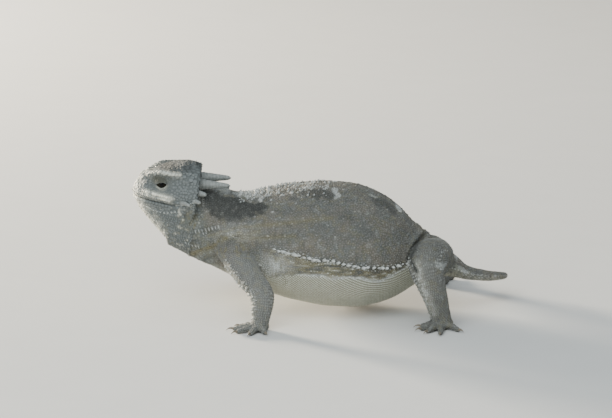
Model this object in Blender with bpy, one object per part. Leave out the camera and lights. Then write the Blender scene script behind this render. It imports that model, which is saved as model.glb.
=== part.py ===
"""A short-horned lizard as a still, life-size museum model, standing with its head raised.

The animal faces -X with its left side towards -Y, and its feet stand on z = 0.
All sizes below are in millimetres and are turned into metres when a mesh is made.
"""

import math
import random

import bmesh
import bpy
import numpy as np
from mathutils import Vector
from mathutils.bvhtree import BVHTree

MM = 0.001
GAP = 0.30
NEAR, FAR = -1, 1
SIDES = ((NEAR, "left"), (FAR, "right"))

# Trunk: x, top, bottom, half width, height of the widest line.
TRUNK_STATIONS = (
    (-36.0, 33.6, 17.6, 8.0, 25.4),
    (-32.5, 34.0, 16.0, 8.6, 24.8),
    (-29.0, 34.2, 14.2, 9.4, 24.0),
    (-25.0, 33.8, 12.4, 10.6, 23.0),
    (-21.0, 33.0, 10.4, 12.6, 22.0),
    (-17.0, 31.7, 8.5, 15.2, 21.0),
    (-12.0, 31.9, 6.3, 18.2, 19.8),
    (-6.0, 33.2, 4.3, 20.9, 18.6),
    (0.0, 33.9, 2.7, 22.6, 17.6),
    (6.0, 34.4, 1.7, 23.4, 16.9),
    (12.0, 34.1, 1.2, 23.3, 16.3),
    (18.0, 32.9, 1.5, 22.0, 15.7),
    (23.0, 30.6, 2.8, 19.6, 15.4),
    (27.0, 27.4, 4.6, 16.8, 15.4),
    (31.0, 23.4, 6.9, 13.4, 15.2),
    (35.0, 20.0, 8.4, 10.3, 14.6),
    (38.0, 17.9, 8.9, 8.2, 13.7),
    (41.0, 15.4, 8.9, 5.9, 12.4),
    (44.0, 12.9, 8.6, 4.2, 11.0),
)
TRUNK_AROUND = 32
TRUNK_RINGS = 34
BACK_POWER = 2.25
BELLY_POWER = 2.05

# Planes that part the trunk, each a point on the middle line and how far it leans back per mm up.
HEAD_CUT_X, HEAD_CUT_Z, HEAD_CUT_LEAN = -28.2, 26.0, 0.158
NECK_CUT_X, NECK_CUT_Z, NECK_CUT_LEAN = -22.4, 21.0, 0.12
TAIL_CUT_X = 39.6

# Head: stations along x and, for each named line of the half head, its (y, z) there.
HEAD_STATIONS = (-44.9, -43.6, -41.2, -38.0, -34.4, -30.6, -26.8, -23.5)
HEAD_LINES = (
    ("crown", (
        (0.0, 34.6), (0.0, 36.5), (0.0, 38.1), (0.0, 39.2),
        (0.0, 40.0), (0.0, 40.5), (0.0, 39.6), (0.0, 38.0),
    )),
    ("crown edge", (
        (1.0, 34.4), (2.0, 36.3), (3.0, 37.9), (4.3, 38.9),
        (5.2, 39.6), (5.8, 40.0), (6.0, 39.0), (5.6, 37.4),
    )),
    ("brow", (
        (1.8, 34.0), (3.1, 35.9), (4.8, 37.8), (7.3, 38.6),
        (8.9, 38.6), (9.8, 38.2), (9.8, 37.2), (8.6, 36.0),
    )),
    ("orbit", (
        (2.2, 33.6), (3.9, 34.8), (5.6, 35.8), (7.2, 36.0),
        (8.7, 36.2), (10.4, 36.0), (10.8, 35.2), (9.4, 34.0),
    )),
    ("cheek", (
        (2.4, 33.1), (4.6, 33.6), (6.7, 33.8), (8.5, 33.7),
        (9.9, 33.4), (11.4, 33.0), (11.6, 32.4), (10.0, 31.4),
    )),
    ("lip", (
        (2.4, 32.4), (4.7, 32.3), (7.0, 32.1), (8.7, 31.9),
        (9.9, 31.4), (11.1, 30.8), (11.2, 30.0), (9.8, 29.0),
    )),
    ("jaw", (
        (2.0, 31.8), (4.3, 30.9), (6.6, 30.0), (8.4, 29.2),
        (9.6, 28.2), (10.4, 27.0), (10.4, 26.0), (9.6, 25.0),
    )),
    ("throat side", (
        (1.3, 31.5), (3.2, 29.6), (5.4, 27.4), (7.2, 25.4),
        (8.5, 23.2), (9.3, 21.5), (9.6, 20.4), (9.6, 19.0),
    )),
    ("throat low", (
        (0.6, 31.2), (1.6, 28.8), (3.2, 25.7), (4.7, 22.5),
        (5.9, 19.2), (6.5, 16.9), (6.9, 15.4), (7.2, 14.0),
    )),
    ("throat", (
        (0.0, 31.1), (0.0, 28.5), (0.0, 25.1), (0.0, 21.6),
        (0.0, 18.0), (0.0, 15.5), (0.0, 13.8), (0.0, 12.4),
    )),
)
HEAD_RINGS = 19
HEAD_AROUND = 34
SNOUT_X, SNOUT_Z = -45.4, 32.8

EYE_X, EYE_Y, EYE_Z = -37.1, 6.0, 35.5
EYE_RADIUS = 1.75
LID_THICKNESS = 0.50
LID_LENGTH_SHARE, LID_HEIGHT_SHARE = 1.12, 0.96
EYE_SLIT_LENGTH, EYE_SLIT_HEIGHT, EYE_SLIT_DEPTH = 3.0, 1.30, 1.6
EYE_AROUND, EYE_RINGS = 14, 8
NOSTRIL_X, NOSTRIL_Y, NOSTRIL_Z, NOSTRIL_RADIUS = -43.4, 2.6, 36.2, 0.38
EAR_X, EAR_Z, EAR_LENGTH, EAR_HEIGHT = -30.2, 27.2, 1.5, 2.3
NOTCH_X, NOTCH_Z, NOTCH_SIZE = -25.2, 38.6, (3.0, 3.7, 4.6)
MOUTH_FRONT_Z, MOUTH_CORNER_Z, MOUTH_CORNER_X = 32.1, 30.2, -32.8
MOUTH_HALF_TURN, MOUTH_BEND = 88.0, 1.1
MOUTH_GROOVE, MOUTH_DEPTH, LIP_HEIGHT, LIP_PROUD = 0.34, 0.70, 1.00, 0.24

# Horns: name, root (x, y, z), direction, length, root radius and tip radius, with y for the right side.
HORNS = (
    ("occipital_horn", (-27.4, 4.7, 35.1), (1.0, 0.08, -0.01), 8.8, 1.65, 0.45),
    ("temporal_horn_1", (-27.8, 9.0, 33.6), (1.0, 0.32, -0.04), 3.0, 1.15, 0.40),
    ("temporal_horn_2", (-29.2, 10.3, 31.9), (0.78, 0.62, -0.04), 3.5, 1.00, 0.32),
    ("temporal_horn_3", (-31.4, 10.3, 31.2), (0.62, 0.78, -0.03), 3.2, 0.85, 0.28),
)
HORN_DROOP = 0.25

# Tail: centre (x, y, z), half width, half height.
TAIL_STATIONS = (
    (36.0, 0.0, 13.4, 8.6, 5.0),
    (39.6, 0.0, 12.3, 6.2, 3.6),
    (42.4, 0.1, 10.9, 4.4, 2.5),
    (45.4, 0.6, 9.6, 3.3, 1.85),
    (48.8, 1.7, 8.7, 2.6, 1.55),
    (52.0, 3.9, 7.9, 2.1, 1.35),
    (54.4, 7.3, 7.1, 1.7, 1.15),
    (55.6, 11.2, 6.3, 1.25, 0.95),
    (55.8, 15.0, 5.7, 0.85, 0.70),
    (55.2, 18.4, 5.3, 0.45, 0.42),
)
TAIL_TIP = (54.8, 19.9, 5.2)
TAIL_SIDES, TAIL_RINGS = 18, 18
TAIL_MIDDLE_CUT_X = 46.6
TAIL_END_CUT_X, TAIL_END_CUT_Y = 53.6, 6.0
TAIL_END_CUT_WAY = (0.75, 0.66, 0.0)

# Legs: axis points and radii from the root inside the trunk to the wrist or ankle, for the right side.
FORELEG_LEFT = (
    (-19.4, 8.0, 20.4), (-17.2, 14.4, 17.4), (-13.6, 20.4, 13.2),
    (-10.0, 24.6, 9.4), (-10.0, 26.2, 5.6), (-10.8, 26.6, 0.9),
)
FORELEG_RIGHT = (
    (-19.4, 8.0, 20.4), (-17.0, 14.6, 17.2), (-13.0, 20.6, 13.0),
    (-9.0, 24.8, 9.6), (-8.6, 26.2, 5.8), (-9.0, 26.6, 0.9),
)
FORELEG_RADII = (4.4, 4.0, 3.6, 3.1, 2.7, 2.1)
HINDLEG_LEFT = (
    (36.4, 5.0, 15.2), (35.3, 12.4, 16.4), (34.5, 18.8, 17.1),
    (33.6, 24.6, 16.3), (35.6, 25.6, 10.1), (38.0, 23.7, 1.1),
)
HINDLEG_RIGHT = (
    (35.8, 5.0, 14.2), (34.8, 12.4, 12.3), (34.2, 19.6, 10.9),
    (34.6, 26.2, 9.8), (36.6, 28.4, 6.0), (38.6, 28.6, 1.1),
)
HINDLEG_RADII = (5.2, 5.5, 5.4, 4.7, 3.5, 2.5)
HINDLEG_RADII_RIGHT = (4.9, 4.9, 4.6, 4.0, 3.2, 2.5)
LEG_SIDES, LEG_RINGS = 13, 14
FORELEG_JOINT, HINDLEG_JOINT = 3, 3

# Feet: palm half sizes, heading from -X towards the animal's outer side, and toe angles and lengths.
HAND_SIZE, FOOT_SIZE = (2.7, 2.5, 1.75), (2.9, 3.4, 1.95)
HAND_HEADING, FOOT_HEADING = 38.0, 66.0
HAND_TOES = ((-62.0, 3.6), (-30.0, 4.9), (0.0, 5.5), (32.0, 5.0), (68.0, 3.9))
FOOT_TOES = ((-60.0, 3.6), (-32.0, 4.8), (-8.0, 5.8), (18.0, 6.6), (62.0, 4.4))
TOE_RADIUS, TOE_TIP_RADIUS, TOE_AXIS_Z = 0.95, 0.66, 0.74
CLAW_LENGTH, CLAW_RADIUS = 1.7, 0.42

# Spines: the flank fringe, height of its line along x, then the step along it and the size of one spine.
FRINGE_LINE = (
    (-8.4, 20.6), (-1.4, 19.5), (3.9, 18.1), (8.4, 18.0),
    (12.9, 16.7), (18.8, 15.8), (24.1, 15.3), (28.4, 15.8),
)
FRINGE_STEP, FRINGE_LENGTH, FRINGE_RADIUS = 2.1, 2.1, 0.78

# Spines of the back: angles of the rows on each side, where they run along x, their step, length and radius.
DORSAL_ANGLES = (0.10, 0.36, 0.66, 1.00)
DORSAL_FRONT_X, DORSAL_REAR_X, DORSAL_STEP = -20.2, 36.6, 4.6
DORSAL_LENGTH, DORSAL_RADIUS = 1.20, 0.72
DORSAL_FORE_SHARE, DORSAL_REAR_SHARE, DORSAL_CHANGE_X = 1.20, 0.80, 8.0
DORSAL_LEG_MARGIN = 0.9

# Spines of the nape and the neck's sides, each a place on the trunk as x and angle.
NAPE_PLACES = ((-25.1, 0.12), (-23.6, 0.34), (-25.4, 1.05), (-23.9, 1.28))
NAPE_LENGTH, NAPE_RADIUS = 1.3, 0.62
NECK_SIDE_PLACES = ((-27.6, 1.80), (-26.35, 1.70), (-25.1, 1.60), (-23.85, 1.50))
ROOT_DEPTH = 4.0

# Spines of the head, each at an x and z: behind the lip, low on the throat, and two behind the brow.
LIP_SPINES, LIP_SPINE_SIZE = ((-33.4, 29.8), (-34.9, 29.5), (-36.4, 29.3)), (1.0, 0.50)
THROAT_SPINES = ((-30.6, 20.6), (-32.05, 20.95), (-33.5, 21.3), (-34.95, 22.2))
BROW_SPINES = (((-31.4, 37.7), 1.4, 0.68, 0.55), ((-33.6, 38.0), 1.0, 0.55, 0.40))
JAW_LENGTH, JAW_RADIUS = 1.25, 0.50

LEG_SPINE_LENGTH, LEG_SPINE_RADIUS = 0.95, 0.58
TAIL_SPINE_LENGTH, TAIL_SPINE_RADIUS = 1.25, 0.55
TAIL_SPINE_LENGTHS = (((1.30, 3.05), 3, 1.0), ((3.60, 5.40), 4, 0.85), ((5.95, 8.20), 3, 0.6))
FAR_OUT = 30.0

collection = None


def start():
    """Empties the scene and makes the collection that holds the parts."""
    global collection
    for obj in list(bpy.data.objects):
        bpy.data.objects.remove(obj, do_unlink=True)
    collection = bpy.data.collections.new("short_horned_lizard")
    bpy.context.scene.collection.children.link(collection)


def finish(name, colour, roughness=0.75):
    """A Principled material of one colour."""
    material = bpy.data.materials.new(name)
    material.use_nodes = True
    shader = material.node_tree.nodes["Principled BSDF"]
    shader.inputs["Base Color"].default_value = (*colour, 1.0)
    shader.inputs["Roughness"].default_value = roughness
    shader.inputs["Metallic"].default_value = 0.0
    return material


def outward(bm):
    """Turns every face of a closed mesh outwards."""
    bmesh.ops.recalc_face_normals(bm, faces=bm.faces)
    if bm.calc_volume(signed=True) < 0:
        bmesh.ops.reverse_faces(bm, faces=bm.faces)


def as_object(name, bm):
    """Makes an object of a bmesh whose points are in millimetres."""
    bmesh.ops.scale(bm, vec=(MM, MM, MM), verts=bm.verts)
    mesh = bpy.data.meshes.new(name)
    bm.to_mesh(mesh)
    bm.free()
    obj = bpy.data.objects.new(name, mesh)
    collection.objects.link(obj)
    return obj


def along(table, count):
    """Rows of a table, read at evenly spaced places on a smooth curve through them."""
    rows = np.array(table, dtype=float)
    last = len(rows) - 1
    out = []
    for place in np.linspace(0.0, last, count):
        i = min(int(place), last - 1)
        t = place - i
        before = rows[max(i - 1, 0)]
        after = rows[min(i + 2, last)]
        slope_0 = (rows[i + 1] - before) * 0.5
        slope_1 = (after - rows[i]) * 0.5
        out.append(
            rows[i] * (2 * t**3 - 3 * t**2 + 1)
            + slope_0 * (t**3 - 2 * t**2 + t)
            + rows[i + 1] * (3 * t**2 - 2 * t**3)
            + slope_1 * (t**3 - t**2)
        )
    return np.array(out)


def loft(name, rings, first=None, last=None):
    """A closed skin over rings of equally many points, ended by a point or by a flat face."""
    bm = bmesh.new()
    loops = [[bm.verts.new(point) for point in ring] for ring in rings]
    count = len(loops[0])
    for lower, upper in zip(loops, loops[1:]):
        for i in range(count):
            j = (i + 1) % count
            bm.faces.new((lower[i], lower[j], upper[j], upper[i]))
    for loop, end in ((loops[0], first), (loops[-1], last)):
        if end is None:
            bm.faces.new(loop)
            continue
        pole = bm.verts.new(end)
        for i in range(count):
            bm.faces.new((loop[i], loop[(i + 1) % count], pole))
    outward(bm)
    return as_object(name, bm)


def bulge(angle, power):
    """Side and height factors of a rounded section at an angle from its top."""
    side, height = math.sin(angle), math.cos(angle)
    return (
        math.copysign(abs(side) ** (2.0 / power), side),
        math.copysign(abs(height) ** (2.0 / power), height),
    )


TRUNK_CURVE = along(TRUNK_STATIONS, 400)


def trunk_section(x):
    """Top, bottom, half width and widest height of the trunk at x."""
    return [float(np.interp(x, TRUNK_CURVE[:, 0], TRUNK_CURVE[:, k])) for k in range(1, 5)]


def trunk_point(x, angle):
    """A point on the trunk, at an angle from the middle of the back, positive towards the right side."""
    top, bottom, half_width, widest = trunk_section(x)
    upper = math.cos(angle) >= 0.0
    side, height = bulge(angle, BACK_POWER if upper else BELLY_POWER)
    reach = top - widest if upper else widest - bottom
    return Vector((x, half_width * side, widest + reach * height))


def trunk_normal(x, angle):
    """The outward direction of the trunk there."""
    step = 0.02
    around = trunk_point(x, angle + step) - trunk_point(x, angle - step)
    forward = trunk_point(x + 0.3, angle) - trunk_point(x - 0.3, angle)
    return around.cross(forward).normalized() * -1.0


def make_trunk():
    """The trunk from inside the head to inside the tail, in one piece."""
    rings = []
    for x in np.linspace(TRUNK_STATIONS[0][0], TRUNK_STATIONS[-1][0], TRUNK_RINGS):
        rings.append(
            [trunk_point(float(x), 2 * math.pi * i / TRUNK_AROUND) for i in range(TRUNK_AROUND)]
        )
    return loft("trunk", rings)


def make_head():
    """The head with its throat, open to no side, before its features are cut."""
    half = np.array([line for _, line in HEAD_LINES], dtype=float)
    stations = []
    for k, x in enumerate(HEAD_STATIONS):
        right = [(x, y, z) for y, z in half[:, k]]
        left = [(x, -y, z) for y, z in half[-2:0:-1, k]]
        ring = np.array(right + left)
        smooth = []
        for place in np.linspace(0, len(ring), HEAD_AROUND, endpoint=False):
            i = int(place)
            t = place - i
            p0, p1, p2, p3 = (ring[(i + m - 1) % len(ring)] for m in range(4))
            square, cube = 2 * p0 - 5 * p1 + 4 * p2 - p3, 3 * p1 - p0 - 3 * p2 + p3
            smooth.append(0.5 * (2 * p1 + (p2 - p0) * t + square * t**2 + cube * t**3))
        stations.append(np.array(smooth).ravel())
    rings = [row.reshape(-1, 3) for row in along(stations, HEAD_RINGS)]
    return loft("head", rings, first=(SNOUT_X, 0.0, SNOUT_Z))


def tube(name, axis, radii, rings, sides=LEG_SIDES, first=None, last=None, flat=1.0):
    """A round limb along a smooth axis. flat makes it lower than it is wide."""
    rows = along([(*point, radius) for point, radius in zip(axis, radii)], rings)
    loops = []
    across = None
    for i, row in enumerate(rows):
        centre = Vector(row[:3])
        ahead = Vector(rows[min(i + 1, rings - 1)][:3]) - Vector(rows[max(i - 1, 0)][:3])
        ahead.normalize()
        if across is None:
            across = ahead.cross(Vector((0, 0, 1)))
            if across.length < 0.1:
                across = ahead.cross(Vector((1, 0, 0)))
        across = (across - ahead * across.dot(ahead)).normalized()
        over = ahead.cross(across)
        loops.append(
            [
                centre
                + across * (row[3] * math.sin(2 * math.pi * k / sides))
                + over * (row[3] * flat * math.cos(2 * math.pi * k / sides))
                for k in range(sides)
            ]
        )
    return loft(name, loops, first=first, last=last)


def mesh_of(obj):
    """The object's mesh as a bmesh in millimetres."""
    bm = bmesh.new()
    bm.from_mesh(obj.data)
    bmesh.ops.scale(bm, vec=(1 / MM, 1 / MM, 1 / MM), verts=bm.verts)
    return bm


def put_mesh(obj, bm):
    """Gives the object the mesh of a bmesh in millimetres."""
    bmesh.ops.scale(bm, vec=(MM, MM, MM), verts=bm.verts)
    bm.to_mesh(obj.data)
    bm.free()


def remove(obj):
    """Takes a helper out of the file."""
    bpy.data.objects.remove(obj, do_unlink=True)


def twin(obj, name):
    """A copy with its own mesh."""
    other = bpy.data.objects.new(name, obj.data.copy())
    collection.objects.link(other)
    return other


def keep_side(obj, point, normal):
    """Cuts the object by a plane and keeps the part on the side that the normal points to."""
    bm = mesh_of(obj)
    geometry = list(bm.verts) + list(bm.edges) + list(bm.faces)
    bmesh.ops.bisect_plane(bm, geom=geometry, plane_co=point, plane_no=normal, clear_inner=True, dist=1e-5)
    rim = [edge for edge in bm.edges if edge.is_boundary]
    bmesh.ops.holes_fill(bm, edges=rim, sides=0)
    bmesh.ops.triangulate(bm, faces=[face for face in bm.faces if len(face.verts) > 4])
    outward(bm)
    put_mesh(obj, bm)
    return obj


def inflated(obj, distance):
    """A copy that stands out from the object by a distance."""
    other = twin(obj, obj.name + "_clearance")
    bm = mesh_of(other)
    bm.normal_update()
    shifts = [vert.normal * distance for vert in bm.verts]
    for vert, shift in zip(bm.verts, shifts):
        vert.co += shift
    put_mesh(other, bm)
    return other


def keep_largest(obj):
    """Keeps only the largest closed surface of the object."""
    bm = mesh_of(obj)
    unseen = set(bm.faces)
    islands = []
    while unseen:
        stack = [unseen.pop()]
        island = list(stack)
        while stack:
            face = stack.pop()
            for edge in face.edges:
                for other in edge.link_faces:
                    if other in unseen:
                        unseen.remove(other)
                        stack.append(other)
                        island.append(other)
        islands.append(island)
    islands.sort(key=lambda island: sum(face.calc_area() for face in island), reverse=True)
    for island in islands[1:]:
        bmesh.ops.delete(bm, geom=island, context="FACES")
    loose = [vert for vert in bm.verts if not vert.link_faces]
    bmesh.ops.delete(bm, geom=loose, context="VERTS")
    bmesh.ops.triangulate(bm, faces=bm.faces)
    put_mesh(obj, bm)


def combine(obj, others, operation):
    """Joins closed pieces to the object, or takes them away from it, and removes them."""
    if not others:
        return obj
    group = bpy.data.collections.new("tools_of_" + obj.name)
    bpy.context.scene.collection.children.link(group)
    for other in others:
        collection.objects.unlink(other)
        group.objects.link(other)
    modifier = obj.modifiers.new("join", "BOOLEAN")
    modifier.operation = operation
    modifier.operand_type = "COLLECTION"
    modifier.collection = group
    modifier.solver = "MANIFOLD"
    solid = bpy.data.meshes.new_from_object(obj.evaluated_get(bpy.context.evaluated_depsgraph_get()))
    obj.modifiers.clear()
    obj.data = solid
    for other in others:
        remove(other)
    bpy.data.collections.remove(group)
    keep_largest(obj)
    return obj


def ball(name, centre, sizes, segments=16, rings=10):
    """A closed ellipsoid."""
    bm = bmesh.new()
    bmesh.ops.create_uvsphere(bm, u_segments=segments, v_segments=rings, radius=1.0)
    bmesh.ops.scale(bm, vec=sizes, verts=bm.verts)
    bmesh.ops.translate(bm, vec=centre, verts=bm.verts)
    return as_object(name, bm)


def spike(root, direction, length, radius, sides=5, sink=0.5):
    """A tapered spine with its root sunk by a part of its length."""
    ahead = Vector(direction).normalized()
    base, depth = radius * (1 + sink), length * (1 + sink)
    bm = bmesh.new()
    bmesh.ops.create_cone(bm, cap_ends=True, segments=sides, radius1=base, radius2=0.0, depth=depth)
    bmesh.ops.translate(bm, vec=(0, 0, length * (1 - sink) / 2), verts=bm.verts)
    bmesh.ops.rotate(bm, matrix=ahead.to_track_quat("Z", "Y").to_matrix(), verts=bm.verts)
    bmesh.ops.translate(bm, vec=root, verts=bm.verts)
    outward(bm)
    return as_object("spike", bm)


def surface_of(obj):
    """A search tree of the object's faces, in millimetres."""
    bm = mesh_of(obj)
    tree = BVHTree.FromBMesh(bm)
    bm.free()
    return tree


def rooted(tree, inside, outward_way, direction, length, radius, draw, sides=5):
    """A spine standing where a ray from inside the piece leaves it, or None."""
    way = Vector(outward_way).normalized()
    hit, _, _, _ = tree.ray_cast(Vector(inside), way)
    if hit is None:
        return None
    size = draw.uniform(0.82, 1.18)
    turn = Vector((draw.uniform(-0.12, 0.12), draw.uniform(-0.12, 0.12), draw.uniform(-0.12, 0.12)))
    return spike(hit, Vector(direction).normalized() + turn, length * size, radius * (0.5 + size / 2), sides)


def near_leg(point, side, margin):
    """True where a point on one side of the trunk is close to a leg."""
    fore = FORELEG_LEFT if side == NEAR else FORELEG_RIGHT
    hind = HINDLEG_LEFT if side == NEAR else HINDLEG_RIGHT
    hind_radii = HINDLEG_RADII if side == NEAR else HINDLEG_RADII_RIGHT
    for axis, radii in ((fore, FORELEG_RADII), (hind, hind_radii)):
        for start_point, end_point, radius in zip(axis, axis[1:], radii):
            a = Vector((start_point[0], side * start_point[1], start_point[2]))
            b = Vector((end_point[0], side * end_point[1], end_point[2]))
            t = max(0.0, min(1.0, (point - a).dot(b - a) / (b - a).length_squared))
            if (point - a.lerp(b, t)).length < radius + margin:
                return True
    return False


def arm_torso(torso):
    """The flank fringe and the scattered spines of the back, fused to the torso."""
    draw = random.Random(11)
    tree = surface_of(torso)
    pieces = []
    line = np.array(FRINGE_LINE)
    for side, _ in SIDES:
        count = int((line[-1, 0] - line[0, 0]) / FRINGE_STEP) + 1
        for x in np.linspace(line[0, 0], line[-1, 0], count):
            z = float(np.interp(x, line[:, 0], line[:, 1]))
            out, way = (0.0, side, 0.0), (0.42, side, 0.10)
            pieces.append(rooted(tree, (x, 0, z), out, way, FRINGE_LENGTH, FRINGE_RADIUS, draw))
        for x in np.arange(DORSAL_FRONT_X, DORSAL_REAR_X, DORSAL_STEP):
            for column, angle in enumerate(DORSAL_ANGLES):
                place = float(x) + (DORSAL_STEP / 2 if column % 2 else 0.0) + draw.uniform(-0.5, 0.5)
                turn = side * (angle + draw.uniform(-0.05, 0.05))
                spot, normal = trunk_point(place, turn), trunk_normal(place, turn)
                tip = spot + normal * DORSAL_LENGTH
                if place > DORSAL_REAR_X - 1.0 or near_leg(tip, side, DORSAL_LEG_MARGIN):
                    continue
                tall = DORSAL_FORE_SHARE if place < DORSAL_CHANGE_X else DORSAL_REAR_SHARE
                lean = normal + Vector((0.45, 0, 0.15))
                inside = spot - normal * ROOT_DEPTH
                pieces.append(rooted(tree, inside, normal, lean, DORSAL_LENGTH * tall, DORSAL_RADIUS, draw))
    combine(torso, [piece for piece in pieces if piece], "UNION")
    trim_torso(torso)
    keep_largest(torso)


def arm_neck(neck):
    """Spines of the nape and the rows of pointed scales on the sides of the neck."""
    draw = random.Random(12)
    tree = surface_of(neck)
    pieces = []
    for side, _ in SIDES:
        rows = (
            (NAPE_PLACES, Vector((0.2, 0, 0.2)), NAPE_LENGTH, NAPE_RADIUS),
            (NECK_SIDE_PLACES, Vector((0.35, 0, -0.3)), JAW_LENGTH, JAW_RADIUS),
        )
        for places, lean, length, radius in rows:
            for x, angle in places:
                spot, normal = trunk_point(x, side * angle), trunk_normal(x, side * angle)
                inside = spot - normal * ROOT_DEPTH
                pieces.append(rooted(tree, inside, normal, normal + lean, length, radius, draw))
    combine(neck, [piece for piece in pieces if piece], "UNION")
    trim_neck(neck)
    keep_largest(neck)


def arm_head(head):
    """Small spines below the horns, behind the brows and along the lower jaw."""
    draw = random.Random(13)
    tree = surface_of(head)
    pieces = []
    for side, _ in SIDES:
        for x, z in LIP_SPINES:
            pieces.append(rooted(tree, (x, 0, z), (0, side, 0), (0.5, side, -0.25), *LIP_SPINE_SIZE, draw))
        for x, z in THROAT_SPINES:
            way = (0.45, side, -0.45)
            pieces.append(rooted(tree, (x, 0, z), (0, side, 0), way, JAW_LENGTH, JAW_RADIUS, draw))
        for (x, z), length, radius, back in BROW_SPINES:
            pieces.append(rooted(tree, (x, 0, z), (0, side, 0.05), (back, side, 0.35), length, radius, draw))
    combine(head, [piece for piece in pieces if piece], "UNION")
    point, normal = plane_at(HEAD_CUT_X, HEAD_CUT_Z, HEAD_CUT_LEAN, -GAP / 2)
    keep_side(head, point, -normal)
    keep_largest(head)


def arm_tube(obj, axis, rows, length, radius, draw, first, last):
    """Rows of spines on a limb or tail. Each row is an outward way, a lean along the axis and a count."""
    tree = surface_of(obj)
    pieces = []
    for way, lean, count in rows:
        for k in range(count):
            place = first + (last - first) * (k + 0.5) / count
            i = min(int(place), len(axis) - 2)
            inside = axis[i].lerp(axis[i + 1], place - i)
            ahead = (axis[i + 1] - axis[i]).normalized()
            out = Vector(way) - ahead * Vector(way).dot(ahead)
            pieces.append(rooted(tree, inside, out, out.normalized() + ahead * lean, length, radius, draw))
    combine(obj, [piece for piece in pieces if piece], "UNION")


def arm_tail(*lengths):
    """Side and upper spines of the tail, on each of its three lengths."""
    draw = random.Random(14)
    axis = [Vector(row[:3]) for row in TAIL_STATIONS]
    for piece, ((first, last), count, share) in zip(lengths, TAIL_SPINE_LENGTHS):
        rows = [((-0.1, side, 0.15), 0.6, count) for side in (NEAR, FAR)]
        rows += [((0, 0.45 * side, 1), 0.7, count) for side in (NEAR, FAR)]
        arm_tube(piece, axis, rows, TAIL_SPINE_LENGTH * share, TAIL_SPINE_RADIUS * share, draw, first, last)
    return lengths


def arm_leg(piece, points, way, count, first, last, draw):
    """Pointed scales along the edge of a leg, laid out by its axis points."""
    rows = ((way, 0.55, count),)
    arm_tube(piece, points, rows, LEG_SPINE_LENGTH, LEG_SPINE_RADIUS, draw, first, last)


def mouth_path(head, side_steps=10):
    """Points on the head along the mouth, from the right corner round the snout to the left one."""
    tree = surface_of(head)
    path = []
    for i in range(-side_steps, side_steps + 1):
        turn = math.radians(MOUTH_HALF_TURN) * i / side_steps
        out = Vector((-math.cos(turn), -math.sin(turn), 0.0))
        drop = (abs(i) / side_steps) ** MOUTH_BEND
        z = MOUTH_FRONT_Z + (MOUTH_CORNER_Z - MOUTH_FRONT_Z) * drop
        start_point = Vector((MOUTH_CORNER_X, 0.0, z)) + out * FAR_OUT
        hit, _, _, _ = tree.ray_cast(start_point, -out)
        path.append((hit, out))
    return path


def ribbon(name, path, inner, outer, inner_height, outer_height):
    """A closed band along a path, from inside the surface to just outside it."""
    rings = []
    for hit, out in path:
        deep = hit + out * inner
        proud = hit + out * outer
        up = Vector((0, 0, 1))
        rings.append(
            [
                deep - up * inner_height,
                proud - up * outer_height,
                proud + up * outer_height,
                deep + up * inner_height,
            ]
        )
    return loft(name, rings)


def cut_features(head):
    """Makes lids and lips, then cuts the eye slits, mouth, nostrils, ears and the notch between the horns."""
    path = mouth_path(head)
    tree = surface_of(head)
    joined = [ribbon("lips", path, -1.2, LIP_PROUD, LIP_HEIGHT, LIP_HEIGHT * 0.45)]
    taken = [ribbon("mouth", path, -MOUTH_DEPTH, LIP_PROUD + 0.8, MOUTH_GROOVE * 0.4, MOUTH_GROOVE * 0.6)]
    socket = EYE_RADIUS + GAP
    for side, _ in SIDES:
        centre = (EYE_X, side * EYE_Y, EYE_Z)
        lid = socket + LID_THICKNESS
        joined.append(ball("lids", centre, (lid * LID_LENGTH_SHARE, lid, lid * LID_HEIGHT_SHARE)))
        taken.append(ball("socket", centre, (socket, socket, socket), EYE_AROUND, EYE_RINGS))
        slit_centre = (EYE_X, side * (EYE_Y + 2.0), EYE_Z)
        slit_size = (EYE_SLIT_LENGTH / 2, EYE_SLIT_DEPTH, EYE_SLIT_HEIGHT / 2)
        taken.append(ball("slit", slit_centre, slit_size, EYE_AROUND, EYE_RINGS))
        nostril = Vector((NOSTRIL_X, side * NOSTRIL_Y, NOSTRIL_Z))
        found, normal, _, _ = tree.find_nearest(nostril)
        taken.append(ball("nostril", found, (NOSTRIL_RADIUS * 1.3, NOSTRIL_RADIUS, NOSTRIL_RADIUS), 10, 6))
        hit, _, _, _ = tree.ray_cast(Vector((EAR_X, side * FAR_OUT, EAR_Z)), Vector((0, -side, 0)))
        taken.append(ball("ear", hit, (EAR_LENGTH / 2, 0.6, EAR_HEIGHT / 2), 12, 8))
    taken.append(ball("notch", (NOTCH_X, 0, NOTCH_Z), NOTCH_SIZE))
    combine(head, joined, "UNION")
    combine(head, taken, "DIFFERENCE")


def plane_at(x, z, lean, shift):
    """A point and the backward normal of a leaning plane, shifted back by a distance."""
    normal = Vector((1.0, 0.0, -lean)).normalized()
    return Vector((x, 0.0, z)) + normal * shift, normal


def trim_neck(neck):
    """Keeps the neck between its two planes."""
    point, normal = plane_at(HEAD_CUT_X, HEAD_CUT_Z, HEAD_CUT_LEAN, GAP / 2)
    keep_side(neck, point, normal)
    point, normal = plane_at(NECK_CUT_X, NECK_CUT_Z, NECK_CUT_LEAN, -GAP / 2)
    keep_side(neck, point, -normal)


def trim_torso(torso):
    """Keeps the torso between its two planes."""
    point, normal = plane_at(NECK_CUT_X, NECK_CUT_Z, NECK_CUT_LEAN, GAP / 2)
    keep_side(torso, point, normal)
    keep_side(torso, Vector((TAIL_CUT_X - GAP / 2, 0, 0)), Vector((-1, 0, 0)))


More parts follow.
